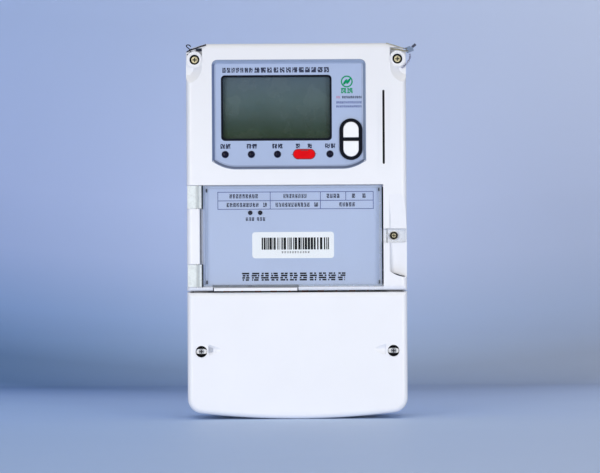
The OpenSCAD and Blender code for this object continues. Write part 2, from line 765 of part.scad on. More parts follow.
module terminal_cover() color("white") difference() {
    union() {
        difference() {
            soft_skin(cover_d, face_d, edge_r) cover_2d();
            front(cover_d - 1, inner_d) intersection() {
                offset(delta = -wall) cover_2d();
                rect(-half_w, half_w, low_z, seam_z - wall + 1);
            }
            front(cover_d - 1, inner_d) rect(-half_w + wall, half_w - wall, seam_z - 10, seam_z + 1);
        }
        mirror_x() bar(cover_screw_x, cover_screw_z, 6.6, cover_well_d - wall, inner_d + 0.5);
    }
    mirror_x() {
        bar(cover_screw_x, cover_screw_z, cover_well_r, cover_well_d, face_d + 1);
        bar(cover_screw_x, cover_screw_z, 2.2, cover_well_d - wall - 1, face_d);
        bar_x(dimple_x - 1, cover_screw_x, face_d - 1.4, cover_screw_z + 1.2, 0.5);
    }
    // tapered dimples that lead the seal wires; the left one has two fine ribs across it
    dimple();
    mirror([1, 0, 0]) difference() {
        dimple();
        for (x = [63, 65.2])
            block(x, x + 0.5, face_d - 6, face_d - 0.3, cover_screw_z - 6, cover_screw_z + 8);
    }
    // cable exit
    block(-60, 60, cover_d - 1, 62, low_z - 1, -135);
}

// A captive sealing screw: flats above and below its head, a wire hole through it and a button with
// a cross slot.
module cover_screw(s) color("silver") difference() {
    x = s * cover_screw_x;
    seat_d = cover_well_d + washer_t;
    union() {
        bar(x, cover_screw_z, 2, post_d - 10, seat_d);
        bar(x, cover_screw_z, 2.6, seat_d, seat_d + 4);
        intersection() {
            bar(x, cover_screw_z, 4.1, seat_d, seat_d + 2.4);
            block(x - 5, x + 5, seat_d - 1, seat_d + 3, cover_screw_z - 2.6, cover_screw_z + 2.6);
        }
    }
    bar_x(x - 5, x + 5, seat_d + 1.2, cover_screw_z, 0.6);
    for (a = [0, 90]) translate([x, -seat_d - 4, cover_screw_z]) rotate([0, a, 0])
        cube([3.4, 2.4, 0.9], center = true);
}

module cover_screw_washers() color("black") mirror_x()
    insert(cover_screw_x, cover_screw_z, cover_well_r - 0.1, 2.2, cover_well_d, cover_well_d + washer_t);

module wiring_label() color("white") front(inner_d - 0.2, inner_d) round_rect(-45, 45, -125, -65, 2);

// ---------------------------------------------------------------- terminals

// The block's foot, behind the sleeves, and its upper part, with a seat for each auxiliary sleeve.
module terminal_block() color("black") difference() {
    union() {
        block(-block_x, block_x, back_t, block_back, block_low, block_ledge - 0.05);
        block(-block_x, block_x, back_t, block_d, block_ledge, block_top);
    }
    for (i = [0:terminal_n - 1])
        block(terminal_x(i) - 3, terminal_x(i) + 3, wire_d - 1.4, wire_d + 1.4,
              block_ledge - 1, block_top + 1);
    for (i = [0:terminal_n - 1]) {
        block(terminal_x(i) - aux_half - 0.1, terminal_x(i) + aux_half + 0.1, aux_d - 4.1, aux_d + 4.1,
              block_ledge - 1, aux_top + 0.1);
        bar(terminal_x(i), aux_screw_z, 2.6, aux_d + 4, block_d + 1);
    }
}

module terminal_barriers() color("black") for (i = [0:terminal_n]) {
    x = terminal_x(i) - terminal_pitch / 2;
    block(x - barrier_t / 2, x + barrier_t / 2, block_back, block_d, block_low, block_ledge);
}

module terminal_sleeves() color("goldenrod") for (i = [0:terminal_n - 1]) difference() {
    block(terminal_x(i) - sleeve_w / 2, terminal_x(i) + sleeve_w / 2, block_back, sleeve_d,
          sleeve_low, sleeve_top);
    bar_z(terminal_x(i), wire_d, wire_r, sleeve_low - 1, sleeve_low + wire_l);
    for (z = terminal_screw_z) bar(terminal_x(i), z, 2, wire_d, sleeve_d + 1);
}

module terminal_screws() color("silver") for (i = [0:terminal_n - 1], z = terminal_screw_z)
    screw(terminal_x(i), z, 3.6, 2.6, 1.95, sleeve_d, wire_d + wire_r + 0.3);

module aux_sleeves() color("goldenrod") for (i = [0:terminal_n - 1]) difference() {
    block(terminal_x(i) - aux_half, terminal_x(i) + aux_half, aux_d - 4, aux_d + 4, aux_low, aux_top);
    bar_z(terminal_x(i), aux_d, aux_r, aux_low - 1, aux_top - 3);
    bar(terminal_x(i), aux_screw_z, 1.5, aux_d, aux_d + 5);
}

module aux_screws() color("silver") for (i = [0:terminal_n - 1])
    screw(terminal_x(i), aux_screw_z, 2.3, 1.6, 1.45, aux_d + 4, aux_d + aux_r + 0.2, 0.4);

module current_transformers() color("navy") for (p = [0:2])
    translate([terminal_x(3 * p), -wire_d, ct_z - ct_h / 2]) rotate_extrude()
        translate([ct_hole, 0]) square([ct_r - ct_hole, ct_h]);

// A strap from the phase's first sleeve, up through its transformer and down to the third sleeve.
module phase_busbars() color("peru") for (p = [0:2]) {
    x0 = terminal_x(3 * p);
    x1 = terminal_x(3 * p + 2);
    z1 = ct_z + 12;
    for (x = [x0, x1]) block(x - 2.5, x + 2.5, wire_d - 0.75, wire_d + 0.75, sleeve_top, z1);
    block(x0 - 2.5, x1 + 2.5, wire_d - 0.75, wire_d + 0.75, z1 - 5, z1);
}

// Leads from the voltage terminals and neutral to the back of the main board.
module voltage_leads() color("peru") for (i = [1, 4, 7, 9]) {
    bar_z(terminal_x(i), wire_d, 0.8, sleeve_top, -33);
    translate([terminal_x(i), -wire_d, -33]) sphere(r = 0.8);
    bar(terminal_x(i), -33, 0.8, wire_d, main_d);
}

// ---------------------------------------------------------------- electronics

module main_board() color("darkgreen") difference() {
    block(-main_x, main_x, main_d, main_d + board_t, main_z0, main_z1);
    mirror_x() for (z = standoff_z) bar(standoff_x, z, 1.3, main_d - 1, main_d + board_t + 1);
}

module transformer_core() color("gray") difference() {
    block(20, 58, 34, 56, -32, 0);
    block(25.5, 52.5, 33, 57, -26.5, -5.5);
}

module transformer_coil() color("darkorange") difference() {
    block(26, 52, main_d + board_t, 60, -26, -6);
    for (z = [-6, -26]) block(25, 53, 33.8, 56.2, z - 0.2, z + 0.2);
}

module electrolytic_capacitors() color("darkslateblue") for (i = [0:2])
    bar(-52 + 17 * i, 56 - 3 * i, 6.3 - i * 0.6, main_d + board_t, 50 - 2 * i);

module varistors() color("steelblue") for (i = [0:2])
    translate([10, -main_d - board_t - 7.1, -8 - 11 * i]) cylinder(r = 7, h = 4);

module clock_battery() color("limegreen") bar_x(-12, 14, main_d + board_t + 7.3, 72, 7.2);

module trip_relay() color("royalblue") block(34, 54, main_d + board_t, 45, 14, 34);

module main_chips() color("black") {
    block(18, 32, main_d + board_t, 31.2, 46, 60);
    block(-2, 8, main_d + board_t, 31.2, 40, 50);
    block(38, 48, main_d + board_t, 31.4, 60, 66);
    for (i = [0:4]) block(-62 + 12 * i, -55 + 12 * i, main_d + board_t, 33, -36, -30);
}

// Flat cable between the two boards, with its plugs.
module ribbon_cable() color("gray") {
    for (d = [main_d + board_t, board_d - 5]) block(-22, 6, d, d + 5, 93, 98);
    translate([-20, 0, 0]) rotate([90, 0, 90]) linear_extrude(24) difference() {
        translate([-(main_d + board_t + board_d) / 2, 90]) circle(14.4);
        translate([-(main_d + board_t + board_d) / 2, 90]) circle(13.6);
        translate([-100, 60]) square([100, 35.4]);
    }
}

module board_screws() color("silver") {
    mirror_x() for (z = standoff_z) screw(standoff_x, z, 2.6, 1.8, 1.15, main_d + board_t, 18);
    for (x = display_board_screw_x, z = display_board_screw_z) {
        bar(x, z, 2.2, board_d - 1.6, board_d);
        bar(x, z, 1.05, board_d, board_d + 9);
    }
}

// ---------------------------------------------------------------- hanger and seals

module hanger() color("silver") front(hanger_d, hanger_d + hanger_t) difference() {
    round_rect(-hanger_w / 2, hanger_w / 2, hanger_z0, hanger_z1, 4);
    translate([0, hanger_hole_z]) circle(hanger_r);
    stadium(0, hanger_screw_z - hanger_travel / 2, 4.6, hanger_travel + 4.6);
}

// The wires are stiff and held at both ends, so their routes are short and rigid.
wire_t = 0.45;
seal_d = 78;
function arc(cx, cz, r, a0, a1, n) = [for (i = [0:n]) let (a = a0 + (a1 - a0) * i / n)
    [cx + r * cos(a), -seal_d, cz + r * sin(a)]];

module seal_wires() color("slategray") {
    tube(concat([[79.4, -seal_d, 124.6]], arc(boss_x, boss_z + 1, 9.6, -70, 20, 12)), wire_t);
    tube([[76.4, -seal_d, top_z - 5.2], [80, -seal_d, top_z - 5.6], [85.1, -seal_d, top_z - 5.4]], wire_t);
    tube(concat([[-73, -seal_d, top_z - 0.5], [-78, -seal_d, top_z - 1.9], [-82.6, -seal_d, top_z - 3.3]],
        arc(-84.6, top_z - 5.4, 1.8, 40, -120, 8)), wire_t);
    upper_curl = [for (p = arc(-84.4, top_z - 2.3, 1.8, -50, 150, 8)) p + [0, 1.2, 0]];
    tube(concat([[-80.4, -seal_d + 1.2, top_z - 2.2]], upper_curl), wire_t);
}

module tamper_seals() color("slategray") {
    translate([85.2, -seal_d, top_z - 5.8]) rotate([0, -20, 0]) difference() {
        translate([0, -2.4, -2.2]) cube([5.6, 4.8, 4.4]);
        translate([4.2, -3, 0.9]) cube([2, 6, 2]);
    }
    translate([90, -seal_d, top_z - 3.2]) rotate([0, -40, 0])
        translate([0, -1.6, -0.9]) cube([3.4, 3.2, 1.8]);
    block(-77.2, -72.8, seal_d - 0.5, seal_d + 1.2, top_z - 5.7, top_z - 3.7);
}

base_housing();
case_gasket();
upper_case();
case_screws();
case_screw_washers();
base_screws();
threaded_inserts();
panel_overlay();
display_window();
lcd_frame();
lcd_glass();
lcd_backlight();
display_board();
indicator_lamps();
infrared_window();
infrared_diodes();
key_bezel();
key(1);  // key_upper
key(-1);  // key_lower
key_switches();
card_reader();
nameplate();
barcode_label();
comm_module();
module_headers();
flip_door();
hinge_pins();
door_screw();
door_screw_washer();
battery_hatch();
battery_holder();
backup_battery();
battery_contacts();
terminal_cover();
cover_screw(-1);  // cover_screw_left
cover_screw(1);  // cover_screw_right
cover_screw_washers();
wiring_label();
terminal_block();
terminal_barriers();
terminal_sleeves();
terminal_screws();
aux_sleeves();
aux_screws();
current_transformers();
phase_busbars();
voltage_leads();
main_board();
transformer_core();
transformer_coil();
electrolytic_capacitors();
varistors();
clock_battery();
trip_relay();
main_chips();
ribbon_cable();
board_screws();
hanger();
tamper_seals();
seal_wires();
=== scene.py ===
"""Looks of a three-phase prepaid electricity meter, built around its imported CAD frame."""
import bmesh
import bpy
import json
import math
import random
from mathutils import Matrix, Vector
from mathutils.geometry import convex_hull_2d


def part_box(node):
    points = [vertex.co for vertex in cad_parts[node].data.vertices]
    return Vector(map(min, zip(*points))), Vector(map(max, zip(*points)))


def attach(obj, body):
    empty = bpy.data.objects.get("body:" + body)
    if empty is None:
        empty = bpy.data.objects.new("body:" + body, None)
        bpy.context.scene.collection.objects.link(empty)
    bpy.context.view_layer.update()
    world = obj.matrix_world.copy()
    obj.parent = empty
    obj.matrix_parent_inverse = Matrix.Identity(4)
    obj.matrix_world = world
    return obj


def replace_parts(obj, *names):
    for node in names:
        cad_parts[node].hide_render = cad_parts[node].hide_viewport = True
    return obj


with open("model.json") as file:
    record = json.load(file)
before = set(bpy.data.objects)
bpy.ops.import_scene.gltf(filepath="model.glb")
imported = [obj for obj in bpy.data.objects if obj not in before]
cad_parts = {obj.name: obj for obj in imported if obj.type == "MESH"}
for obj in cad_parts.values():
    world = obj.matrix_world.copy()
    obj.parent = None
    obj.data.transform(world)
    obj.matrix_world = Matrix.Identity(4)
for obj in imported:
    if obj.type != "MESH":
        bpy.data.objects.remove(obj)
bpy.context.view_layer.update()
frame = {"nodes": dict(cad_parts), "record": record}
NODES = frame["nodes"]
MM = 0.001
TOP = 145.0            # the case's top edge above the frame's origin, mm
FLOOR_Z = -0.1452      # the studio's floor, m
WALL_Y = 0.62          # the studio's wall, m


# ------------------------------------------------------------------ material helpers

def linear(value):
    """A display value, 0 to 255, as linear light."""
    v = value / 255
    return v / 12.92 if v <= 0.04045 else ((v + 0.055) / 1.055) ** 2.4


def rgb(r, g, b):
    """A display colour as linear light."""
    return linear(r), linear(g), linear(b)


def shade(color, k):
    return tuple(min(1.0, x * k) for x in color)


MATS = {}              # every finished material, by the name that it was given here


class Tree:
    """One material's node tree. Its methods add nodes, and return their outputs or the node itself."""

    def __init__(self, name):
        self.name = name
        self.mat = bpy.data.materials.new(name)
        self.mat.use_nodes = True
        self.nodes = self.mat.node_tree.nodes
        self.links = self.mat.node_tree.links
        self.nodes.clear()
        self.out = self.add("ShaderNodeOutputMaterial")
        space = self.add("ShaderNodeTexCoord")
        self.coord = space.outputs["Object"]
        self.facing = space.outputs["Normal"]

    def add(self, kind, **props):
        node = self.nodes.new(kind)
        for key, value in props.items():
            setattr(node, key, value)
        return node

    def put(self, socket, value):
        """Link an output to the socket, or set a constant or a colour on it."""
        if isinstance(value, bpy.types.NodeSocket):
            self.links.new(value, socket)
        elif socket.type == "RGBA":
            socket.default_value = (*value, 1.0)
        else:
            socket.default_value = value

    def noise(self, scale, detail, rough=0.5, stretch=(1, 1, 1), distort=0.0):
        """Noise with scale features in a metre."""
        place = self.add("ShaderNodeMapping")
        self.put(place.inputs["Vector"], self.coord)
        self.put(place.inputs["Scale"], stretch)
        node = self.add("ShaderNodeTexNoise")
        self.put(node.inputs["Vector"], place.outputs["Vector"])
        self.put(node.inputs["Scale"], scale)
        self.put(node.inputs["Detail"], detail)
        self.put(node.inputs["Roughness"], rough)
        self.put(node.inputs["Distortion"], distort)
        return node.outputs["Fac"]

    def span(self, value, a, b, c, d):
        """A value that goes from a to b, moved to go from c to d and held there."""
        node = self.add("ShaderNodeMapRange", clamp=True)
        self.put(node.inputs["Value"], value)
        for key, limit in zip(("From Min", "From Max", "To Min", "To Max"), (a, b, c, d)):
            self.put(node.inputs[key], limit)
        return node.outputs["Result"]

    def mix(self, amount, a, b):
        """Colour a where amount is 0, colour b where it is 1."""
        node = self.add("ShaderNodeMix", data_type="RGBA")
        self.put(node.inputs[0], amount)
        self.put(node.inputs[6], a)
        self.put(node.inputs[7], b)
        return node.outputs[2]

    def blend(self, amount, a, b):
        """Shader a where amount is 0, shader b where it is 1."""
        node = self.add("ShaderNodeMixShader")
        self.put(node.inputs[0], amount)
        self.put(node.inputs[1], a.outputs[0])
        self.put(node.inputs[2], b.outputs[0])
        return node

    def math(self, operation, a, b=0.0, clamp=False):
        node = self.add("ShaderNodeMath", operation=operation, use_clamp=clamp)
        self.put(node.inputs[0], a)
        self.put(node.inputs[1], b)
        return node.outputs[0]

    def times(self, a, b):
        return self.math("MULTIPLY", a, b)

    def plus(self, a, b, clamp=False):
        return self.math("ADD", a, b, clamp)

    def minus(self, a, b, clamp=False):
        return self.math("SUBTRACT", a, b, clamp)

    def axis(self, name, vector=None):
        """One axis of a vector, which is the place on the object if none is given."""
        node = self.add("ShaderNodeSeparateXYZ")
        self.put(node.inputs[0], vector or self.coord)
        return node.outputs[name]

    def sides(self, low, high):
        """0 on faces that look straight ahead or back, 1 on the sides."""
        ahead = self.math("ABSOLUTE", self.axis("Y", self.facing))
        return self.span(ahead, low, high, 1.0, 0.0)

    def ramp(self, value, stops):
        """Display colours at places between 0 and 1."""
        node = self.add("ShaderNodeValToRGB")
        self.put(node.inputs[0], value)
        first, last = node.color_ramp.elements
        first.position, last.position = stops[0][0], stops[-1][0]
        first.color = (*rgb(*stops[0][1]), 1)
        last.color = (*rgb(*stops[-1][1]), 1)
        for place, color in stops[1:-1]:
            node.color_ramp.elements.new(place).color = (*rgb(*color), 1)
        return node.outputs["Color"]

    def bump(self, height, strength, distance, below=None):
        node = self.add("ShaderNodeBump")
        self.put(node.inputs["Height"], height)
        self.put(node.inputs["Strength"], strength)
        self.put(node.inputs["Distance"], distance)
        if below is not None:
            self.put(node.inputs["Normal"], below)
        return node.outputs["Normal"]

    def edges(self, radius):
        """1 along edges that a hand or tool rubs, 0 on flats."""
        rounded = self.add("ShaderNodeBevel", samples=4)
        self.put(rounded.inputs["Radius"], radius)
        geometry = self.add("ShaderNodeNewGeometry")
        agree = self.add("ShaderNodeVectorMath", operation="DOT_PRODUCT")
        self.put(agree.inputs[0], rounded.outputs["Normal"])
        self.put(agree.inputs[1], geometry.outputs["Normal"])
        return self.span(agree.outputs["Value"], 0.93, 0.995, 1.0, 0.0)

    def principled(self, color, rough, metal, normal, **more):
        node = self.add("ShaderNodeBsdfPrincipled")
        self.put(node.inputs["Base Color"], color)
        self.put(node.inputs["Roughness"], rough)
        self.put(node.inputs["Metallic"], metal)
        self.put(node.inputs["Normal"], normal)
        for key, value in more.items():
            self.put(node.inputs[key.replace("_", " ")], value)
        return node

    def done(self, shader):
        self.put(self.out.inputs["Surface"], shader.outputs[0])
        MATS[self.name] = self.mat
        return self.mat


# ------------------------------------------------------------------ kinds of material

def plastic(name, color, rough, vary, patch, grain, depth, spread=0.08, specks=0.0, painted_shade=None, **more):
    """A moulded plastic: slow colour drift, fine moulding grain and a roughness that isn't even.
    vary is how far the colour drifts, patch how many times in a metre, spread how uneven the roughness is.
    fade is (lower z, upper z, how much of the colour is left there): a painted shade that darkens the colour
    from the lower to the upper z."""
    t = Tree(name)
    drift = t.span(t.noise(patch, 4.0, 0.55), 0.3, 0.7, 0.0, 1.0)
    col = t.mix(drift, shade(color, 1 - vary), shade(color, 1 + vary))
    if specks:
        dots = t.span(t.noise(1500, 1.0), 0.64, 0.72, 0.0, specks)
        col = t.mix(dots, col, shade(color, 0.6))
    # Painted shade: the colour is darkened towards the upper height.
    if painted_shade:
        col = t.mix(t.span(t.axis("Z"), painted_shade[0], painted_shade[1], 0.0, 1.0), col, shade(color, painted_shade[2]))
    handled = t.noise(90, 5.0, 0.6, distort=0.6)
    r = t.span(handled, 0.25, 0.75, rough - spread, rough + spread)
    fine = t.bump(t.noise(grain, 2.0, 0.6), depth, 0.00006)
    wave = t.bump(t.noise(55, 1.0), 0.12, 0.0003, fine)
    return t.done(t.principled(col, r, 0.0, wave, **more))


def metal(name, color, rough, dark, brush=(1, 1, 1), scale=700, wear=0.5, tarnish=0.4):
    """A plated or drawn metal: brushed grain, tarnish in patches and brighter rubbed edges.
    dark is the tarnish's share of the colour, and brush stretches the grain."""
    t = Tree(name)
    lines = t.noise(scale, 3.0, 0.7, brush)
    stain = t.span(t.noise(260, 5.0, 0.65, distort=0.8), 0.42, 0.72, 0.0, tarnish)
    col = t.mix(stain, color, shade(color, dark))
    col = t.mix(t.times(t.edges(0.00025), wear), col, shade(color, 1.35))
    brushed = t.span(lines, 0.2, 0.8, rough - 0.1, rough + 0.12)
    r = t.plus(brushed, t.times(stain, 0.25), True)
    return t.done(t.principled(col, r, 1.0, t.bump(lines, 0.25, 0.00005)))


def clear(name, tint, film, share, rough, side=0.0, side_shade=(0.2, 0.22, 0.25), cloudy=None):
    """Clear sheet plastic: see-through, glossy at grazing angles, with faint scratches, and a painted shade
    on its cut sides for the dark look of light inside the sheet's edges.
    cloudy is (x where it starts, x where it is full, how much, x of a pin that shows through it)."""
    t = Tree(name)
    see = t.add("ShaderNodeBsdfTransparent")
    t.put(see.inputs["Color"], tint)
    scratch = t.span(t.noise(420, 6.0, 0.7, (1, 1, 14), 0.4), 0.60, 0.78, 0.0, 0.10)
    r = t.plus(t.span(t.noise(35, 3.0), 0.3, 0.7, rough * 0.6, rough * 1.6), scratch)
    # Painted shade: the cut sides take their own darker colour, and side makes them hide more of what is
    # behind them.
    cut = t.times(t.sides(0.55, 0.97), t.span(t.noise(160, 3.0), 0.3, 0.7, 0.75, 1.0))
    ripple = t.bump(t.noise(45, 2.0), 0.10, 0.0004)
    body = t.principled(t.mix(cut, film, side_shade), r, 0.0, ripple, Specular_IOR_Level=0.9)
    layer = t.add("ShaderNodeLayerWeight")
    t.put(layer.inputs["Blend"], 0.5)
    graze = t.times(t.math("POWER", layer.outputs["Facing"], 5.0), 0.9)
    amount = t.plus(graze, t.plus(t.times(scratch, 0.25), share), True)
    amount = t.plus(amount, t.times(cut, side), True)
    if cloudy:
        start, full, most, pin_x = cloudy
        off_pin = t.math("ABSOLUTE", t.minus(t.axis("X"), pin_x))
        thick = t.times(t.span(off_pin, 0.0006, 0.002, 0.45, 1.0),
                        t.span(t.noise(420, 3.0, 0.6), 0.35, 0.6, 0.84, 1.0))
        thick = t.times(thick, t.span(t.axis("X"), start, full, 0.0, most))
        amount = t.plus(amount, thick, True)
    t.mat.surface_render_method = "BLENDED"
    return t.done(t.blend(amount, see, body))


# Tones of the display from its lower edge up; the lighter grey-blue above and the darker lower part are
# painted light and shade.
LCD_TONES = [(0.0, (22, 46, 26)), (0.14, (32, 56, 38)), (0.28, (42, 64, 56)),
             (0.42, (58, 78, 76)), (0.65, (72, 93, 95)), (1.0, (76, 95, 107))]


def lcd():
    """An unpowered reflective display: grey-blue above, greener and darker towards its lower edge, a painted
    reflection above and painted shade below.
    """
    t = Tree("lcd_glass")
    drift = t.times(t.minus(t.noise(22, 2.0), 0.5), 0.008)
    up = t.span(t.plus(t.axis("Z"), drift), 0.070, 0.117, 0.0, 1.0)
    col = t.ramp(up, LCD_TONES)
    cells = t.span(t.noise(900, 2.0), 0.4, 0.6, 0.0, 1.0)
    col = t.mix(t.times(cells, 0.04), col, rgb(40, 54, 52))
    r = t.span(t.noise(60, 3.0), 0.3, 0.7, 0.22, 0.32)
    ripple = t.bump(t.noise(70, 2.0), 0.05, 0.0002)
    return t.done(t.principled(col, r, 0.0, ripple, Specular_IOR_Level=0.3))


def board():
    """Solder mask over copper: raised traces show as slightly lighter lines."""
    t = Tree("circuit_board")
    upright = t.add("ShaderNodeMapping")
    t.put(upright.inputs["Vector"], t.coord)
    t.put(upright.inputs["Rotation"], (math.radians(90), 0, 0))
    traces = t.add("ShaderNodeTexBrick")
    t.put(traces.inputs["Vector"], upright.outputs["Vector"])
    t.put(traces.inputs["Scale"], 300.0)
    t.put(traces.inputs["Mortar Size"], 0.04)
    t.put(traces.inputs["Color1"], rgb(16, 84, 48))
    t.put(traces.inputs["Color2"], rgb(20, 94, 56))
    t.put(traces.inputs["Mortar"], rgb(36, 120, 74))
    drift = t.span(t.noise(160, 4.0), 0.4, 0.7, 0.0, 0.4)
    col = t.mix(drift, traces.outputs["Color"], rgb(12, 66, 40))
    r = t.span(t.noise(200, 3.0), 0.3, 0.7, 0.28, 0.42)
    return t.done(t.principled(col, r, 0.0, t.bump(traces.outputs["Fac"], 0.2, 0.00005)))


def painted_rim_shade():
    """The slope round the panel, coloured as painted shade: its four sides get lighter or darker tones by the
    way they face.
    """
    t = Tree("rim_shade")
    across = t.axis("X", t.facing)
    up = t.axis("Z", t.facing)
    # Painted shade by the way each side faces: faces turned right and up are darker, faces turned down
    # lighter.
    col = t.mix(t.span(across, -0.5, 0.5, 0.0, 1.0), rgb(134, 150, 176), rgb(104, 121, 160))
    col = t.mix(t.span(up, -0.2, -0.6, 0.0, 1.0), col, rgb(160, 176, 202))
    col = t.mix(t.span(up, 0.2, 0.6, 0.0, 1.0), col, rgb(98, 110, 136))
    col = t.mix(t.span(t.noise(120, 3.0), 0.3, 0.7, 0.0, 0.12), col, rgb(96, 110, 146))
    r = t.span(t.noise(60, 3.0), 0.3, 0.7, 0.34, 0.46)
    return t.done(t.principled(col, r, 0.0, t.bump(t.noise(1600, 2.0), 0.06, 0.00006)))


# Tones up the studio's paper, from the floor in front to high on the wall; the dark band low on the wall is
# painted shade.
PAPER_TONES = [(0.0, (166, 195, 240)), (0.12, (176, 207, 252)), (0.172, (172, 203, 247)),
               (0.204, (160, 190, 236)), (0.233, (128, 160, 209)), (0.247, (106, 139, 187)),
               (0.295, (103, 137, 185)), (0.33, (122, 157, 207)), (0.382, (145, 178, 229)),
               (0.486, (176, 199, 246)), (0.59, (184, 205, 251)), (0.888, (166, 188, 232))]
BOW_HALF, BOW_DROP = 0.3, 0.022      # half the width of the dark band's bow and how far it hangs down, m


def backdrop():
    """Seamless studio paper: a darker band low on the wall that bows down in the middle, a painted shade,
    lighter elsewhere, and painted light towards the right.
    It is one-sided, so the object can also be seen from behind it and from below."""
    t = Tree("studio_paper")
    along = t.times(t.minus(t.axis("Y"), WALL_Y), 0.1)
    up = t.plus(t.minus(t.axis("Z"), FLOOR_Z), along)
    side = t.times(t.axis("X"), 1 / BOW_HALF)
    bow = t.times(t.minus(1.0, t.times(side, side), True), BOW_DROP)
    col = t.ramp(t.span(t.plus(up, bow), -0.13, 0.42, 0.0, 1.0), PAPER_TONES)
    # Painted light: the paper grows lighter towards the right.
    col = t.mix(t.span(t.axis("X"), -0.28, 0.28, 0.0, 0.42), col, rgb(232, 238, 250))
    col = t.mix(t.span(t.noise(3.0, 2.0), 0.3, 0.7, 0.0, 0.04), col, rgb(150, 170, 206))
    r = t.span(t.noise(20, 3.0), 0.3, 0.7, 0.52, 0.55)
    tooth = t.bump(t.noise(900, 2.0), 0.05, 0.0001)
    paper = t.principled(col, r, 0.0, tooth, Specular_IOR_Level=0.3)
    behind = t.add("ShaderNodeNewGeometry").outputs["Backfacing"]
    return t.done(t.blend(behind, paper, t.add("ShaderNodeBsdfTransparent")))


# ------------------------------------------------------------------ the meter's materials

# How cloudy the door's knuckles look: x where that starts, x where it is full, how much, x of their pins; m.
KNUCKLES = (-0.0734, -0.0742, 0.97, -0.0764)

# The record's material slots. After a plastic's name and colour come its roughness, colour drift,
# drifts in a metre, grains in a metre, grain depth and unevenness of the roughness.
# The case's colour is darkened towards its top edge, a painted shade.
plastic("case_plastic", rgb(237, 240, 248), 0.36, 0.012, 18, 2400, 0.06, painted_shade=(0.0, 0.145, 0.88))
plastic("base_plastic", rgb(226, 231, 240), 0.46, 0.03, 22, 1800, 0.16, specks=0.15)
plastic("key_plastic", rgb(240, 243, 249), 0.34, 0.02, 60, 2200, 0.08)
plastic("gasket_rubber", rgb(16, 17, 20), 0.75, 0.15, 90, 900, 0.4, Specular_IOR_Level=0.2)
metal("brass_screw", rgb(188, 182, 152), 0.36, 0.3, wear=0.6, tarnish=0.7)
metal("plated_screw", rgb(226, 228, 232), 0.34, 0.45, wear=0.5, tarnish=0.5)
metal("steel", rgb(196, 198, 200), 0.32, 0.6, (1, 1, 8), 500)
metal("brass", rgb(208, 176, 104), 0.30, 0.5, (6, 1, 1), 500)
metal("copper", rgb(200, 128, 92), 0.30, 0.5, (1, 1, 8), 500)
metal("core_steel", rgb(120, 122, 124), 0.45, 0.6, (1, 30, 1), 120)
metal("seal_wire", rgb(112, 112, 120), 0.36, 0.4, (1, 1, 1), 900, 0.4, 0.7)
plastic("printed_blue", rgb(160, 178, 213), 0.42, 0.035, 14, 1500, 0.05, 0.06, 0.05)
clear("clear_acrylic", (0.99, 0.995, 1.0), rgb(200, 210, 225), 0.004, 0.05)
# The door's cut sides get a grey-blue painted shade.
clear("clear_polycarbonate", (0.985, 0.99, 0.995), rgb(238, 246, 248), 0.012, 0.07,
      0.6, rgb(204, 216, 232), KNUCKLES)
plastic("black_plastic", rgb(8, 14, 28), 0.45, 0.12, 80, 1800, 0.14, Specular_IOR_Level=0.06)
plastic("diffuser", rgb(222, 224, 220), 0.5, 0.04, 40, 1200, 0.1)
board()
plastic("lamp_lens", rgb(8, 10, 36), 0.24, 0.2, 300, 800, 0.05, Specular_IOR_Level=0.15)
plastic("red_lens", rgb(222, 0, 14), 0.28, 0.06, 200, 900, 0.05, Specular_IOR_Level=0.12)
plastic("diode_plastic", rgb(60, 26, 66), 0.15, 0.1, 200, 900, 0.05)
plastic("label_paper", rgb(238, 242, 246), 0.55, 0.015, 50, 1400, 0.12)
plastic("grey_plastic", rgb(120, 126, 134), 0.5, 0.05, 60, 1500, 0.2)
plastic("battery_sleeve", rgb(60, 140, 90), 0.28, 0.08, 60, 700, 0.1)
plastic("bakelite", rgb(38, 38, 42), 0.5, 0.15, 80, 1300, 0.3, specks=0.3)
plastic("transformer_shell", rgb(40, 56, 120), 0.35, 0.08, 80, 1500, 0.15)
plastic("coil_tape", rgb(222, 184, 74), 0.35, 0.08, 60, 500, 0.2)
plastic("capacitor_sleeve", rgb(34, 38, 66), 0.3, 0.1, 60, 800, 0.1)
plastic("varistor_coat", rgb(38, 84, 160), 0.45, 0.1, 90, 700, 0.3)
plastic("relay_plastic", rgb(40, 84, 160), 0.35, 0.06, 60, 1500, 0.1)
plastic("chip_epoxy", rgb(34, 34, 36), 0.55, 0.1, 90, 2200, 0.3)
plastic("ribbon_grey", rgb(168, 170, 174), 0.5, 0.05, 60, 700, 0.2)
plastic("seal_plastic", rgb(120, 142, 176), 0.3, 0.12, 200, 900, 0.2, Transmission_Weight=0.25)
lcd()

# Nodes whose look differs from the rest of their slot.
OWN_LOOK = {
    "nameplate": plastic("plate_blue", rgb(175, 190, 221), 0.42, 0.03, 14, 1500, 0.05, 0.06, 0.05),
    "lcd_frame": plastic("lcd_frame_black", rgb(14, 26, 38), 0.6, 0.12, 80, 1800, 0.14,
                         Specular_IOR_Level=0.15),
    "threaded_inserts": metal("pale_brass", rgb(170, 164, 142), 0.36, 0.5, (6, 1, 1), 500),
}


def ink(name, color, rough=0.5, vary=0.10):
    """Printing ink: matt, with hardly any gloss."""
    return plastic(name, color, rough, vary, 300, 2000, 0.1, Specular_IOR_Level=0.06)


INK = ink("ink_dark", rgb(10, 14, 50), 0.5, 0.12)
INK_BLUE = ink("ink_blue", rgb(66, 78, 142))
INK_GREEN = ink("ink_green", rgb(0, 142, 96), 0.45)
INK_RED = ink("ink_red", rgb(190, 84, 120))
# Black print, and also the painted shadow in the card slot and on the cover screws.
INK_AND_SHADE_BLACK = ink("ink_and_shade_black", rgb(1, 2, 7), 0.5, 0.12)
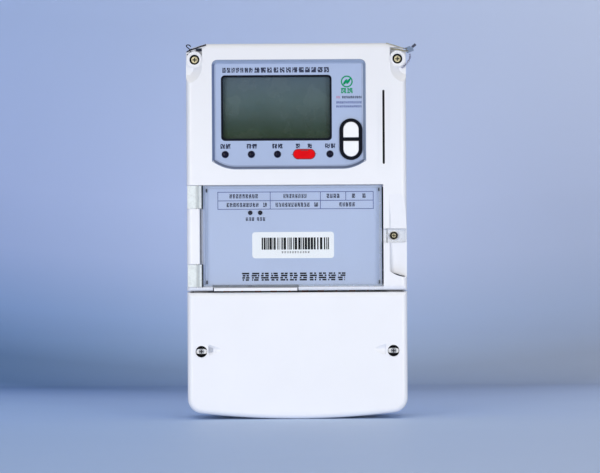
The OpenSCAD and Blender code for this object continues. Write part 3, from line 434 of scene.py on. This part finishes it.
# Painted shade on the slope and the lip round the panel.
RIM_SHADE = painted_rim_shade()
LIP_SHADE = plastic("lip_shade", rgb(142, 158, 192), 0.34, 0.06, 40, 1600, 0.08)
IR_RIM = plastic("infrared_rim", rgb(120, 8, 36), 0.35, 0.08, 200, 900, 0.08)
CAP_NAVY = plastic("cap_navy", rgb(34, 44, 74), 0.35, 0.12, 300, 900, 0.1)
WIRE_DARK = metal("wire_dark", rgb(58, 60, 72), 0.42, 0.5, scale=900, wear=0.4, tarnish=0.6)
WIRE_BRASS = metal("wire_brass", rgb(176, 170, 142), 0.4, 0.5, scale=900, wear=0.4, tarnish=0.6)
WIRE_LILAC = metal("wire_lilac", rgb(160, 162, 188), 0.4, 0.6, scale=900, wear=0.4, tarnish=0.4)
# Painted shade for the screws' recesses.
RECESS_SHADE = plastic("recess_shade", rgb(52, 50, 40), 0.5, 0.15, 300, 900, 0.2, Specular_IOR_Level=0.2)
PEWTER = metal("pewter", rgb(150, 154, 162), 0.4, 0.5, tarnish=0.7)
# Painted shade for the ribs by the left cover screw.
RIB_SHADE = plastic("rib_shade", rgb(176, 182, 196), 0.4, 0.06, 200, 900, 0.1)
# The pegs and the clip, and also painted shadow over the battery hatch and in the thumb recess.
PEG_AND_SHADE_GREY = plastic("peg_and_shade_grey", rgb(40, 48, 64), 0.4, 0.12, 200, 900, 0.2, Specular_IOR_Level=0.15)


# ------------------------------------------------------------------ CAD nodes: material, soft edges

# Width of the softened edges, mm; the nodes that aren't here keep their CAD edges.
EDGE = {"upper_case": 0.35, "terminal_cover": 0.35, "base_housing": 0.5, "key_upper": 0.5, "key_lower": 0.5,
        "key_bezel": 0.35, "lcd_frame": 0.2, "battery_hatch": 0.3, "flip_door": 0.35, "hanger": 0.3,
        "terminal_block": 0.4, "terminal_barriers": 0.4, "case_screws": 0.15, "door_screw": 0.15,
        "cover_screw_left": 0.2, "cover_screw_right": 0.2, "infrared_window": 0.35, "terminal_sleeves": 0.25,
        "terminal_screws": 0.12, "tamper_seals": 0.3, "comm_module": 0.3, "card_reader": 0.3}


def soften(o, width):
    """Soften a node's edges by modifiers, which leave its corners where the CAD put them."""
    weld = o.modifiers.new("weld", "WELD")
    weld.merge_threshold = 1e-6
    flat = o.modifiers.new("planar", "DECIMATE")
    flat.decimate_type = "DISSOLVE"
    flat.angle_limit = math.radians(0.4)
    bevel = o.modifiers.new("bevel", "BEVEL")
    bevel.width = width * MM
    bevel.segments = 2
    bevel.limit_method = "ANGLE"
    bevel.angle_limit = math.radians(32)
    bevel.use_clamp_overlap = True
    bevel.harden_normals = True


def finish_nodes():
    """Give every CAD node its material, and soften the edges of those that show."""
    slot_of = {part["node"]: part["material_slot"] for part in frame["record"]["subparts"]}
    for name, o in NODES.items():
        mat = OWN_LOOK.get(name) or MATS[slot_of[name]]
        if not o.material_slots:
            o.data.materials.append(mat)
        for s in o.material_slots:
            s.material = mat
        if name in EDGE:
            split_normals = o.data.attributes.get("custom_normal")
            if split_normals is not None:
                o.data.attributes.remove(split_normals)
            soften(o, EDGE[name])


# ------------------------------------------------------------------ outlines and meshes
# mm; x to the right, z up, d the depth in front of the wall

def outline_rect(x0, x1, z0, z1, r=0.0, n=5):
    """A rectangle, or one with corners of radius r in n steps."""
    if r <= 0:
        return [(x0, z0), (x1, z0), (x1, z1), (x0, z1)]
    pts = []
    corners = ((x1 - r, z0 + r, -90), (x1 - r, z1 - r, 0), (x0 + r, z1 - r, 90), (x0 + r, z0 + r, 180))
    for cx, cz, start in corners:
        for i in range(n + 1):
            a = math.radians(start + 90 * i / n)
            pts.append((cx + r * math.cos(a), cz + r * math.sin(a)))
    return pts


def outline_disc(x, z, r, n=28):
    angles = [2 * math.pi * i / n for i in range(n)]
    return [(x + r * math.cos(a), z + r * math.sin(a)) for a in angles]


def outline_plus(x, z, arm, w):
    """A cross recess: arm is its reach and w half the width of an arm."""
    quarter = ((-arm, -w), (-w, -w), (-w, -arm))
    corners = []
    for c, s in ((1, 0), (0, 1), (-1, 0), (0, -1)):
        corners += [(a * c - b * s, a * s + b * c) for a, b in quarter]
    return [(x + a, z + b) for a, b in corners]


def outline_turned(outline, degrees, x, z):
    """An outline turned about the origin, then moved to x, z."""
    c, s = math.cos(math.radians(degrees)), math.sin(math.radians(degrees))
    return [(x + a * c - b * s, z + a * s + b * c) for a, b in outline]


def front(node):
    """Depth of a node's front face."""
    return -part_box(node)[0].y / MM


def outline_front(node):
    """The outer edge of a node's front face, as far as it is convex."""
    front_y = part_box(node)[0].y
    corners = [(v.co.x / MM, v.co.z / MM) for v in NODES[node].data.vertices if v.co.y < front_y + 1e-5]
    edge = [corners[i] for i in convex_hull_2d(corners)]
    return [q for before, q in zip([edge[-1]] + edge, edge) if math.dist(before, q) > 0.25]


def route(points, steps=10):
    """A smooth curve through points of (x, z, d)."""
    p = [Vector(q) for q in points]
    p = [p[0] * 2 - p[1]] + p + [p[-1] * 2 - p[-2]]
    path = []
    for a, b, c, e in zip(p, p[1:], p[2:], p[3:]):
        for i in range(steps):
            t = i / steps
            bend = (2 * a - 5 * b + 4 * c - e) * t * t + (3 * b - a - 3 * c + e) * t ** 3
            path.append(0.5 * (2 * b + (c - a) * t + bend))
    return path + [p[-2]]


WIRE_SIDES = 8


class Shape:
    """Collects closed solids into one mesh."""

    def __init__(self, name, mat):
        self.name, self.mat, self.bm = name, mat, bmesh.new()

    def ring(self, places):
        """Corners at places of (x, z, d)."""
        return [self.bm.verts.new((x * MM, -d * MM, z * MM)) for x, z, d in places]

    def band(self, a, b):
        """Faces between two rings."""
        n = len(a)
        for i in range(n):
            self.bm.faces.new((a[i], a[(i + 1) % n], b[(i + 1) % n], b[i]))

    def prism(self, pts, d0, d1, crown=0.0):
        """A plate with front view pts from depth d0 to d1; crown draws its front face in a little."""
        cx = sum(x for x, z in pts) / len(pts)
        cz = sum(z for x, z in pts) / len(pts)
        rings = []
        for d, inset in ((d0, 0.0), (d1 - (d1 - d0) * 0.4, 0.0), (d1, crown)):
            places = []
            for x, z in pts:
                k = 1 - inset / (math.hypot(x - cx, z - cz) or 1.0)
                places.append((cx + (x - cx) * k, cz + (z - cz) * k, d))
            rings.append(self.ring(places))
        for a, b in zip(rings, rings[1:]):
            self.band(a, b)
        self.bm.faces.new(rings[-1])
        self.bm.faces.new(list(reversed(rings[0])))

    def frame(self, outer, inner, d0, d1):
        """A ring between two outlines with the same number of points."""
        corners = ((outer, d0), (outer, d1), (inner, d1), (inner, d0))
        rings = [self.ring([(x, z, d) for x, z in pts]) for pts, d in corners]
        for a, b in zip(rings, rings[1:] + rings[:1]):
            self.band(a, b)

    def sweep(self, outline, section):
        """A closed strip round a convex outline; section lists (distance outside the outline, depth)."""
        n = len(outline)
        rings = []
        for out, d in section:
            places = []
            for i, corner in enumerate(outline):
                here = Vector(corner)
                a = (here - Vector(outline[i - 1])).normalized()
                b = (Vector(outline[(i + 1) % n]) - here).normalized()
                push = Vector((a.y + b.y, -a.x - b.x)).normalized()
                p = here + push * out / max(0.3, push.dot(Vector((a.y, -a.x))))
                places.append((p.x, p.y, d))
            rings.append(self.ring(places))
        for a, b in zip(rings, rings[1:] + rings[:1]):
            self.band(a, b)

    def strand(self, path, r, turn=0.0, off=0.0, phase=0.0):
        """A round wire along a path of (x, z, d). It winds round the path at a distance of off, and turn is
        how many degrees it winds in each mm."""
        rings, run = [], 0.0
        for i, here in enumerate(path):
            ahead = (path[min(i + 1, len(path) - 1)] - path[max(i - 1, 0)]).normalized()
            across = ahead.cross(Vector((0, 0, 1))).normalized()
            out = across.cross(ahead)
            run += (here - path[i - 1]).length if i else 0.0
            a = math.radians(phase + turn * run)
            core = here + (across * math.cos(a) + out * math.sin(a)) * off
            angles = [2 * math.pi * k / WIRE_SIDES for k in range(WIRE_SIDES)]
            rings.append(self.ring([core + (across * math.cos(b) + out * math.sin(b)) * r for b in angles]))
        for a, b in zip(rings, rings[1:]):
            self.band(a, b)
        self.bm.faces.new(rings[0])
        self.bm.faces.new(list(reversed(rings[-1])))

    def twisted(self, path, r, off, turn):
        """Two strands wound round each other."""
        for phase in (0.0, 180.0):
            self.strand(path, r, turn, off, phase)

    def make(self, body, smooth=False):
        bmesh.ops.recalc_face_normals(self.bm, faces=self.bm.faces)
        me = bpy.data.meshes.new(self.name)
        self.bm.to_mesh(me)
        self.bm.free()
        me.materials.append(self.mat)
        if smooth:
            me.polygons.foreach_set("use_smooth", [True] * len(me.polygons))
        o = bpy.data.objects.new(self.name, me)
        bpy.context.scene.collection.objects.link(o)
        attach(o, body)
        return o


INK_T = 0.04          # thickness of a printed mark


def marks(shape, x0, x1, top, height, cells, d, seed, weight, gap=0.16):
    """A row of abstract printed marks in place of lettering, top mm below the case's top edge. Each cell is a
    stack of short, broken dashes; weight is the dashes' share of the height, gap the empty part of a cell."""
    rnd = random.Random(seed)
    pitch = (x1 - x0) / cells
    rows = 4 if height > 3 else 3
    h = height / rows
    for i in range(cells):
        a = x0 + pitch * (i + gap / 2)
        w = pitch * (1 - gap)
        for r in range(rows):
            z = TOP - top - height / 2 + h * (r + 0.5)
            half = h * weight / 2
            cut = rnd.uniform(0.25, 0.75)
            hole = rnd.choice((0.0, 0.12, 0.2))
            dashes = ((rnd.uniform(0, 0.12), cut - hole / 2), (cut + hole / 2, 1 - rnd.uniform(0, 0.12)))
            for start, end in dashes:
                shape.prism(outline_rect(a + w * start, a + w * end, z - half, z + half), d, d + INK_T)


# ------------------------------------------------------------------ display panel

PANEL_D = front("panel_overlay")
CASE_D = front("terminal_cover")
RIM_W = 1.55          # width of the slope round the panel
LIP_W = 1.2           # width of the lighter lip inside it
LAMP_X = (-55.0, -34.8, -14.6, 25.9)
LAMP_Z = TOP - 85.6
LAMP_LABEL_X = (-54.9, -34.5, -14.7, 26.1)
LABEL_TOP, LABEL_H = 79.3, 3.6            # the row of marks over the lamps
EMBLEM_X, EMBLEM_Z, EMBLEM_R = 39.2, TOP - 29.7, 4.6
FINE_X0, FINE_X1 = 30.8, 51.6             # the small print over the keys


def panel_surround():
    """The lip along the panel's edge and the slope from there up to the case, both coloured as painted shade;
    the lip is the lighter of the two.
    """
    edge = outline_front("panel_overlay")
    lip = Shape("panel_lip", LIP_SHADE)
    lip.sweep(edge, [(-LIP_W, PANEL_D + 0.05), (-LIP_W + 0.1, PANEL_D + 0.2), (-0.1, PANEL_D + 0.35),
                     (-0.1, PANEL_D - 0.2), (-LIP_W, PANEL_D - 0.2)])
    lip.make("meter")
    rim = Shape("panel_rim", RIM_SHADE)
    rim.sweep(edge, [(-0.2, PANEL_D + 0.3), (0.6, PANEL_D + 1.35), (RIM_W, CASE_D + 0.04),
                     (RIM_W + 0.45, CASE_D + 0.06), (RIM_W + 0.5, CASE_D - 0.1), (-0.2, PANEL_D - 0.3)])
    rim.make("meter")


def infrared_surround():
    """A dark red ring round the infrared window, and the short mark at its upper edge."""
    window_d = front("infrared_window")
    ring = Shape("infrared_rim", IR_RIM)
    ring.sweep(outline_rect(-2.25, 14.25, TOP - 89.15, TOP - 82.05, 3.55, 12),
               [(0.0, PANEL_D - 0.1), (0.02, PANEL_D + 0.22), (0.45, PANEL_D + 0.22), (0.55, PANEL_D - 0.1)])
    ring.prism(outline_rect(3.2, 9.2, TOP - 83.0, TOP - 82.3, 0.3, 3), window_d, window_d + INK_T)
    ring.make("meter")


def display_surround():
    """The black border printed round the display's window, and the dark rims of the lamps."""
    border = Shape("display_border", MATS["black_plastic"])
    border.frame(outline_rect(-58.3, 27.7, TOP - 75.6, TOP - 23.9, 3.2, 8),
                 outline_rect(-56.5, 25.9, TOP - 73.3, TOP - 25.5, 2.2, 8), PANEL_D - 0.58, PANEL_D - 0.3)
    border.make("meter")
    rims = Shape("lamp_rims", CAP_NAVY)
    for x in LAMP_X:
        rims.frame(outline_disc(x, LAMP_Z, 2.85), outline_disc(x, LAMP_Z, 2.2), PANEL_D, PANEL_D + 0.12)
    rims.make("meter")


def panel_print():
    """The panel's printing: a title, the lamps' labels, small print and a plain leaf emblem."""
    dark = Shape("panel_print", INK)
    marks(dark, -57.3, -33.2, 20.5, 3.8, 7, PANEL_D, 1, 0.86)
    marks(dark, -32.6, 26.0, 20.5, 4.0, 12, PANEL_D, 2, 0.88)
    for k, x in enumerate(LAMP_LABEL_X):
        marks(dark, x - 4.3, x + 4.3, LABEL_TOP, LABEL_H, 2, PANEL_D, 10 + k, 0.9, 0.12)
    for k, x in enumerate((-0.8, 8.4)):
        marks(dark, x, x + 3.8, LABEL_TOP, LABEL_H, 1, PANEL_D, 20 + k, 0.9, 0.12)
    marks(dark, 35.4, 51.5, 41.8, 1.9, 10, PANEL_D, 30, 0.85)
    dark.make("meter")
    fine = Shape("panel_fine_print", INK_BLUE)
    marks(fine, FINE_X0, FINE_X1, 45.8, 1.8, 14, PANEL_D, 31, 0.75)
    marks(fine, FINE_X0, FINE_X1, 48.9, 1.7, 14, PANEL_D, 32, 0.75)
    fine.make("meter")
    red = Shape("panel_red_print", INK_RED)
    marks(red, FINE_X0, 34.2, 41.8, 1.9, 2, PANEL_D, 33, 0.66)
    red.make("meter")

    green = Shape("panel_emblem", INK_GREEN)
    green.frame(outline_disc(EMBLEM_X, EMBLEM_Z, EMBLEM_R), outline_disc(EMBLEM_X, EMBLEM_Z, EMBLEM_R - 1.0),
                PANEL_D, PANEL_D + INK_T)
    for dx, dz in ((-1.2, -0.3), (1.3, 0.3)):
        leaf = []
        for a in (2 * math.pi * i / 20 for i in range(20)):
            across = 1.9 * (0.75 * math.cos(a) + 0.45 * math.sin(a))
            up = 1.9 * (1.1 * math.sin(a) + 0.3 * math.cos(a))
            leaf.append((EMBLEM_X + dx + across, EMBLEM_Z + dz + up))
        green.prism(leaf, PANEL_D, PANEL_D + INK_T)
    marks(green, 34.4, 44.0, 36.7, 4.2, 2, PANEL_D, 34, 0.86, 0.1)
    green.make("meter")


# ------------------------------------------------------------------ nameplate behind the door

PLATE_D = front("nameplate")
TABLE_X = (-61.0, -20.5, 18.3, 38.0, 59.2)
TABLE_TOP, TABLE_MID, TABLE_LOW = TOP - 114.7, TOP - 121.4, TOP - 127.9
LINE = 0.24           # half the width of a table line
ROW1, ROW2, ROW3 = 117.9, 124.6, 135.6    # tops of the rows of marks, below the case's top edge
ROW1_CELLS = ((-52.3, -29.8, 9), (-10.6, 7.9, 8), (22.9, 33.4, 4), (42.3, 45.7, 1), (50.4, 53.8, 1))
ROW2_CELLS = ((-54.5, -29.2, 10), (-26.4, -22.6, 1), (-16.7, 10.2, 11), (13.0, 17.0, 1), (32.6, 45.2, 5))
ROW3_CELLS = ((-39.8, -32.6, 3), (-31.2, -24.2, 3))
PEG_W, PEG_H = 1.1, 2.9
PEGS = ((-69.7, 31.6), (-69.7, -39.4), (63.7, 31.8), (63.7, -39.6))


def nameplate_print():
    """The nameplate's table, its marks and the bold line under the label."""
    table = Shape("nameplate_lines", INK_BLUE)
    x0, x1 = TABLE_X[0] - LINE, TABLE_X[-1] + LINE
    for z in (TABLE_LOW, TABLE_MID, TABLE_TOP):
        table.prism(outline_rect(x0, x1, z - LINE, z + LINE), PLATE_D, PLATE_D + INK_T)
    for k, x in enumerate(TABLE_X):
        low = TABLE_MID if k == 3 else TABLE_LOW
        table.prism(outline_rect(x - LINE, x + LINE, low, TABLE_TOP), PLATE_D, PLATE_D + INK_T * 0.9)
    table.make("meter")

    text = Shape("nameplate_print", INK)
    wide = [(ROW1, *cells) for cells in ROW1_CELLS] + [(ROW2, *cells) for cells in ROW2_CELLS]
    for k, (row, x0, x1, cells) in enumerate(wide):
        marks(text, x0, x1, row, 3.3, cells, PLATE_D, 50 + k, 0.84, 0.18)
    for k, (x0, x1, cells) in enumerate(ROW3_CELLS):
        marks(text, x0, x1, ROW3, 2.9, cells, PLATE_D, 70 + k, 0.8, 0.2)
    text.make("meter")
    bold = Shape("nameplate_bold_print", INK_AND_SHADE_BLACK)
    marks(bold, -43.4, 38.2, 180.2, 6.6, 11, PLATE_D, 80, 0.74)
    bold.make("meter")


def nameplate_pegs():
    """The four pegs that hold the nameplate."""
    pegs = Shape("nameplate_pegs", PEG_AND_SHADE_GREY)
    for x, z in PEGS:
        pegs.prism(outline_rect(x - PEG_W / 2, x + PEG_W / 2, z - PEG_H / 2, z + PEG_H / 2, 0.4, 4),
                   PLATE_D - 0.5, PLATE_D + 1.6, 0.15)
    pegs.make("meter")


BARS_X0, BARS_X1 = -27.3, 25.5
BARS_TOP, BARS_LOW = TOP - 150.0, TOP - 159.3


def barcode():
    """A random row of bars, with marks under it."""
    label_d = front("barcode_label")
    bars = Shape("barcode_bars", INK_AND_SHADE_BLACK)
    rnd = random.Random(7)
    x = BARS_X0
    while x < BARS_X1 - 0.5:
        w = min(rnd.choice((0.6, 0.8, 1.1, 1.5, 1.9)), BARS_X1 - x)
        bars.prism(outline_rect(x, x + w, BARS_LOW, BARS_TOP), label_d, label_d + INK_T)
        x += w + rnd.choice((0.4, 0.5, 0.8, 1.1))
    marks(bars, -12.2, 10.0, 161.3, 1.8, 11, label_d, 90, 0.6, 0.3)
    bars.make("meter")


# ------------------------------------------------------------------ gaps, screws and recesses

HATCH_TOP = -43.1     # upper edge of the battery hatch
HATCH_SIDES = (-65.05, 0.35)


def hatch_gap_shade():
    """A dark strip over the battery hatch and down its two ends: a painted shadow in the gaps there."""
    strip = Shape("hatch_gap_shade", PEG_AND_SHADE_GREY)
    over = outline_rect(-65.4, 1.2, HATCH_TOP, HATCH_TOP + 1.7, 0.3, 3)
    strip.prism(over, PLATE_D - 0.4, PLATE_D + 0.5, 0.1)
    for x in HATCH_SIDES:
        strip.prism(outline_rect(x, x + 0.55, -46.6, HATCH_TOP + 0.2), 80.0, 82.6)
    strip.make("meter")


SLOT_X, SLOT_Z, SLOT_H = 67.4, TOP - 64.9, 57.2


def card_slot_shade():
    """Two dark strips inside the card slot, a painted shadow in its depth, with the card's gap between them.
    """
    shade_strips = Shape("card_slot_shade", INK_AND_SHADE_BLACK)
    low, high = SLOT_Z - SLOT_H / 2 + 0.1, SLOT_Z + SLOT_H / 2 - 0.1
    for x0, x1 in ((-0.84, -0.08), (0.08, 0.84)):
        lip = outline_rect(SLOT_X + x0, SLOT_X + x1, low, high, 0.2, 3)
        shade_strips.prism(lip, CASE_D - 1.4, CASE_D - 0.3, 0.05)
    shade_strips.make("meter")


COVER_SCREW_X, COVER_SCREW_Z, COVER_SCREW_R = 74.2, TOP - 237.8, 4.35


def cover_screw_marks(side, node, body):
    """Painted shade on a cover screw's head: dark upper and lower thirds for the shadow of its well and a
    dark cross for its cross recess; and its darker grey middle.
    """
    head = front(node)
    x, z, r = side * COVER_SCREW_X, COVER_SCREW_Z, COVER_SCREW_R
    dark = Shape(node + "_shade", INK_AND_SHADE_BLACK)
    angles = [math.radians(16 + 148 * i / 16) for i in range(17)]
    for up, thick in ((1, 1.0), (-1, 0.6)):
        outer = [(r * math.cos(a), r * math.sin(a)) for a in angles]
        inner = [(4.0 * math.cos(a), 1.15 + thick * math.sin(a)) for a in reversed(angles)]
        dark.prism([(x + a, z + up * b) for a, b in outer + inner], head + 0.02, head + 0.14)
    dark.prism(outline_plus(x, z, 1.5, 0.34), head + 0.05, head + 0.08)
    dark.make(body)
    core = Shape(node + "_core", PEWTER)
    core.prism(outline_disc(x, z, 2.3), head + 0.01, head + 0.05, 0.02)
    core.make(body)


def screw_recess(shape, x, z, head, arm, outer, inner, below, above):
    """A screw's cross recess and the dark edge of its head, from below to above its face, coloured as painted
    shade.
    """
    shape.prism(outline_plus(x, z, arm, 0.36), head + 0.01, head + 0.04)
    shape.frame(outline_disc(x, z, outer), outline_disc(x, z, inner), head - below, head + above)


BOSS_X, BOSS_Z = 78.4, TOP - 12.2
DOOR_SCREW_X, DOOR_SCREW_Z = 74.9, -3.9


def brass_screw_recesses():
    """Painted shade in the cross recesses and round the heads of the two case screws and of the door's screw.
    """
    case = Shape("case_screw_recesses", RECESS_SHADE)
    for x in (-BOSS_X, BOSS_X):
        screw_recess(case, x, BOSS_Z, front("case_screws"), 1.7, 2.75, 2.45, 0.3, 0.05)
    case.make("meter")
    door = Shape("door_screw_recess", RECESS_SHADE)
    screw_recess(door, DOOR_SCREW_X, DOOR_SCREW_Z, front("door_screw"), 1.35, 2.0, 1.6, 0.2, 0.04)
    door.make("door_seal_screw")


def cover_arrow_ribs():
    """Four fine ribs that shorten to the right, beside the left cover screw, coloured grey as painted shade.
    """
    ribs = Shape("cover_arrow_ribs", RIB_SHADE)
    for k, x in enumerate((-68.6, -67.5, -66.4, -65.5)):
        low, high = COVER_SCREW_Z - 1.0 + 0.2 * k, COVER_SCREW_Z + 4.2 - 0.5 * k
        ribs.prism(outline_rect(x - 0.2, x + 0.2, low, high), CASE_D - 0.2, CASE_D + 0.03)
    ribs.make("terminal_lid")


THUMB_Z, THUMB_R, THUMB_LINE = -15.0, 21.0, 0.95      # the thumb recess's round end and its line's width


def recess_crescent():
    """The dark line along the round lower end of the thumb recess: a painted shadow under its step."""
    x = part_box("upper_case")[1].x / MM
    angles = [math.radians(a) for a in range(234, 267, 2)]
    low = [(x + THUMB_R * math.cos(a), THUMB_Z + THUMB_R * math.sin(a)) for a in angles]
    high = []
    for k, a in enumerate(angles):
        r = THUMB_R - THUMB_LINE * math.sin(math.pi * (k + 0.3) / (len(angles) - 0.4))
        high.append((x + r * math.cos(a), THUMB_Z + r * math.sin(a)))
    crescent = Shape("recess_crescent", PEG_AND_SHADE_GREY)
    crescent.prism(low + high[::-1], CASE_D - 7.0, CASE_D - 0.3)
    crescent.make("meter")


# ------------------------------------------------------------------ sealing wires and seal

LEFT_WIRE = [(-69.5, 144.2, 83.4), (-71.5, 143.5, 85.0), (-74.5, 142.5, 85.4),
             (-78.0, 141.2, 85.3), (-81.5, 140.1, 84.0), (-84.2, 138.8, 81.0)]
CURL_D = 80.2         # depth of the left wire's two curled ends
LEFT_CURLS = [
    [(-81.4, 140.2), (-82.6, 141.4), (-84.6, 143.2), (-84.0, 144.3), (-82.4, 144.1), (-81.2, 143.0)],
    [(-82.0, 139.8), (-81.0, 138.4), (-81.3, 137.2), (-82.6, 136.7), (-84.3, 136.9)],
]
RIGHT_WIRE = [(73.4, 140.2, 82.5), (77.0, 139.9, 84.0), (81.0, 139.3, 84.2),
              (84.6, 138.7, 82.0), (87.2, 139.0, 79.6)]
RIGHT_STAY = [(69.6, 144.7, 84.6), (75.0, 143.2, 85.2), (81.8, 141.0, 84.6), (86.0, 140.2, 81.0)]
SEAL_LOOP = [(87.9, 136.6, 78.6), (88.4, 134.4, 78.6), (87.2, 131.2, 78.9),
             (84.4, 127.8, 80.4), (81.7, 125.6, 82.6)]


def seal_wires():
    """Twisted wires at both corners, in place of the CAD's plain ones."""
    left = Shape("left_seal_wire", WIRE_DARK)
    left.twisted(route(LEFT_WIRE), 0.36, 0.3, 150)
    for curl in LEFT_CURLS:
        left.strand(route([(x, z, CURL_D) for x, z in curl], 8), 0.42)
    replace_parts(left.make("meter", True), "seal_wires")
    right = Shape("right_seal_wire", WIRE_BRASS)
    right.twisted(route(RIGHT_WIRE), 0.34, 0.3, 130)
    right.strand(route(RIGHT_STAY, 8), 0.3)
    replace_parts(right.make("meter", True), "seal_wires")
    loop = Shape("seal_loop", WIRE_LILAC)
    loop.twisted(route(SEAL_LOOP), 0.3, 0.5, 60)
    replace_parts(loop.make("meter", True), "seal_wires")


def seal_trim():
    """The dark tip of the right seal, and the face of the clip in the left notch."""
    tip = Shape("seal_tip", CAP_NAVY)
    outline = outline_rect(-0.2, 3.55, -1.02, 1.02, 0.3, 3)
    tip.prism(outline_turned(outline, 40, 90.0, TOP - 3.2), 76.25, 79.75, 0.2)
    tip.make("meter")
    clip = Shape("notch_clip", PEG_AND_SHADE_GREY)
    clip.prism(outline_rect(-77.2, -72.9, 139.3, 141.3, 0.6, 3), 79.2, 79.5, 0.3)
    clip.make("meter")


# ------------------------------------------------------------------ camera, light, stage; metres

DISTANCE = 3.0        # from the camera to the meter's front
VIEW_W = 0.4632       # width of the view there
SENSOR_W = 36.0       # mm
WARM = (1.0, 0.955, 0.89)
# name, place, size, power and colour of each light, all aimed at the origin
LIGHTS = (("soft_left", (-1.0, -2.4, 0.15), (0.9, 0.9), 28.5, WARM),
          ("soft_right", (1.1, -2.4, 0.1), (0.9, 0.9), 26.5, (0.98, 0.95, 0.895)),
          ("soft_top", (0, -0.5, 1.7), (1.6, 1.0), 3.5, WARM))
BEND, HALF_W, WALL_H = 0.05, 2.5, 2.2     # the sweep's bend, half its width and its wall's height


def add_camera():
    cam = bpy.data.cameras.new("camera")
    cam.sensor_width = SENSOR_W
    cam.lens = SENSOR_W * DISTANCE / VIEW_W
    cam.clip_end = 20
    camera = bpy.data.objects.new("camera", cam)
    bpy.context.scene.collection.objects.link(camera)
    camera.location = (0.0024, -0.0845 - DISTANCE, -0.00425)
    camera.rotation_euler = (math.radians(90), math.radians(0.32), 0)
    bpy.context.scene.camera = camera


def add_lights():
    world = bpy.data.worlds.new("world")
    bpy.context.scene.world = world
    world.use_nodes = True
    sky = world.node_tree.nodes["Background"]
    sky.inputs[0].default_value = (1.0, 0.98, 0.946, 1)
    sky.inputs[1].default_value = 0.38
    for name, place, size, power, color in LIGHTS:
        light = bpy.data.lights.new(name, "AREA")
        light.shape = "RECTANGLE"
        light.size, light.size_y = size
        light.energy = power
        light.color = color
        o = bpy.data.objects.new(name, light)
        o.location = place
        o.rotation_euler = (-Vector(place)).to_track_quat("-Z", "Y").to_euler()
        bpy.context.scene.collection.objects.link(o)


def add_sweep():
    """One sheet of paper: the floor, a tight bend and the wall."""
    angles = [math.radians(9 * i) for i in range(11)]
    profile = [(-2.2, FLOOR_Z), (-1.0, FLOOR_Z), (0.0, FLOOR_Z)]
    profile += [(WALL_Y - BEND + BEND * math.sin(a), FLOOR_Z + BEND - BEND * math.cos(a)) for a in angles]
    profile += [(WALL_Y, 0.5), (WALL_Y, WALL_H)]
    bm = bmesh.new()
    rows = [[bm.verts.new((k * HALF_W, y, z)) for k in (-1, -0.33, 0.33, 1)] for y, z in profile]
    for low, high in zip(rows, rows[1:]):
        for i in range(3):
            bm.faces.new((low[i], low[i + 1], high[i + 1], high[i]))
    me = bpy.data.meshes.new("studio_sweep")
    bm.to_mesh(me)
    bm.free()
    me.polygons.foreach_set("use_smooth", [True] * len(me.polygons))
    me.materials.append(backdrop())
    sweep = bpy.data.objects.new("studio_sweep", me)
    bpy.context.scene.collection.objects.link(sweep)


# ------------------------------------------------------------------ everything in order

finish_nodes()
panel_surround()
infrared_surround()
display_surround()
panel_print()
nameplate_print()
nameplate_pegs()
barcode()
hatch_gap_shade()
card_slot_shade()
cover_screw_marks(-1, "cover_screw_left", "left_cover_screw")
cover_screw_marks(1, "cover_screw_right", "right_cover_screw")
brass_screw_recesses()
cover_arrow_ribs()
recess_crescent()
seal_wires()
seal_trim()
add_camera()
add_lights()
add_sweep()
bpy.context.scene.view_settings.view_transform = "Standard"
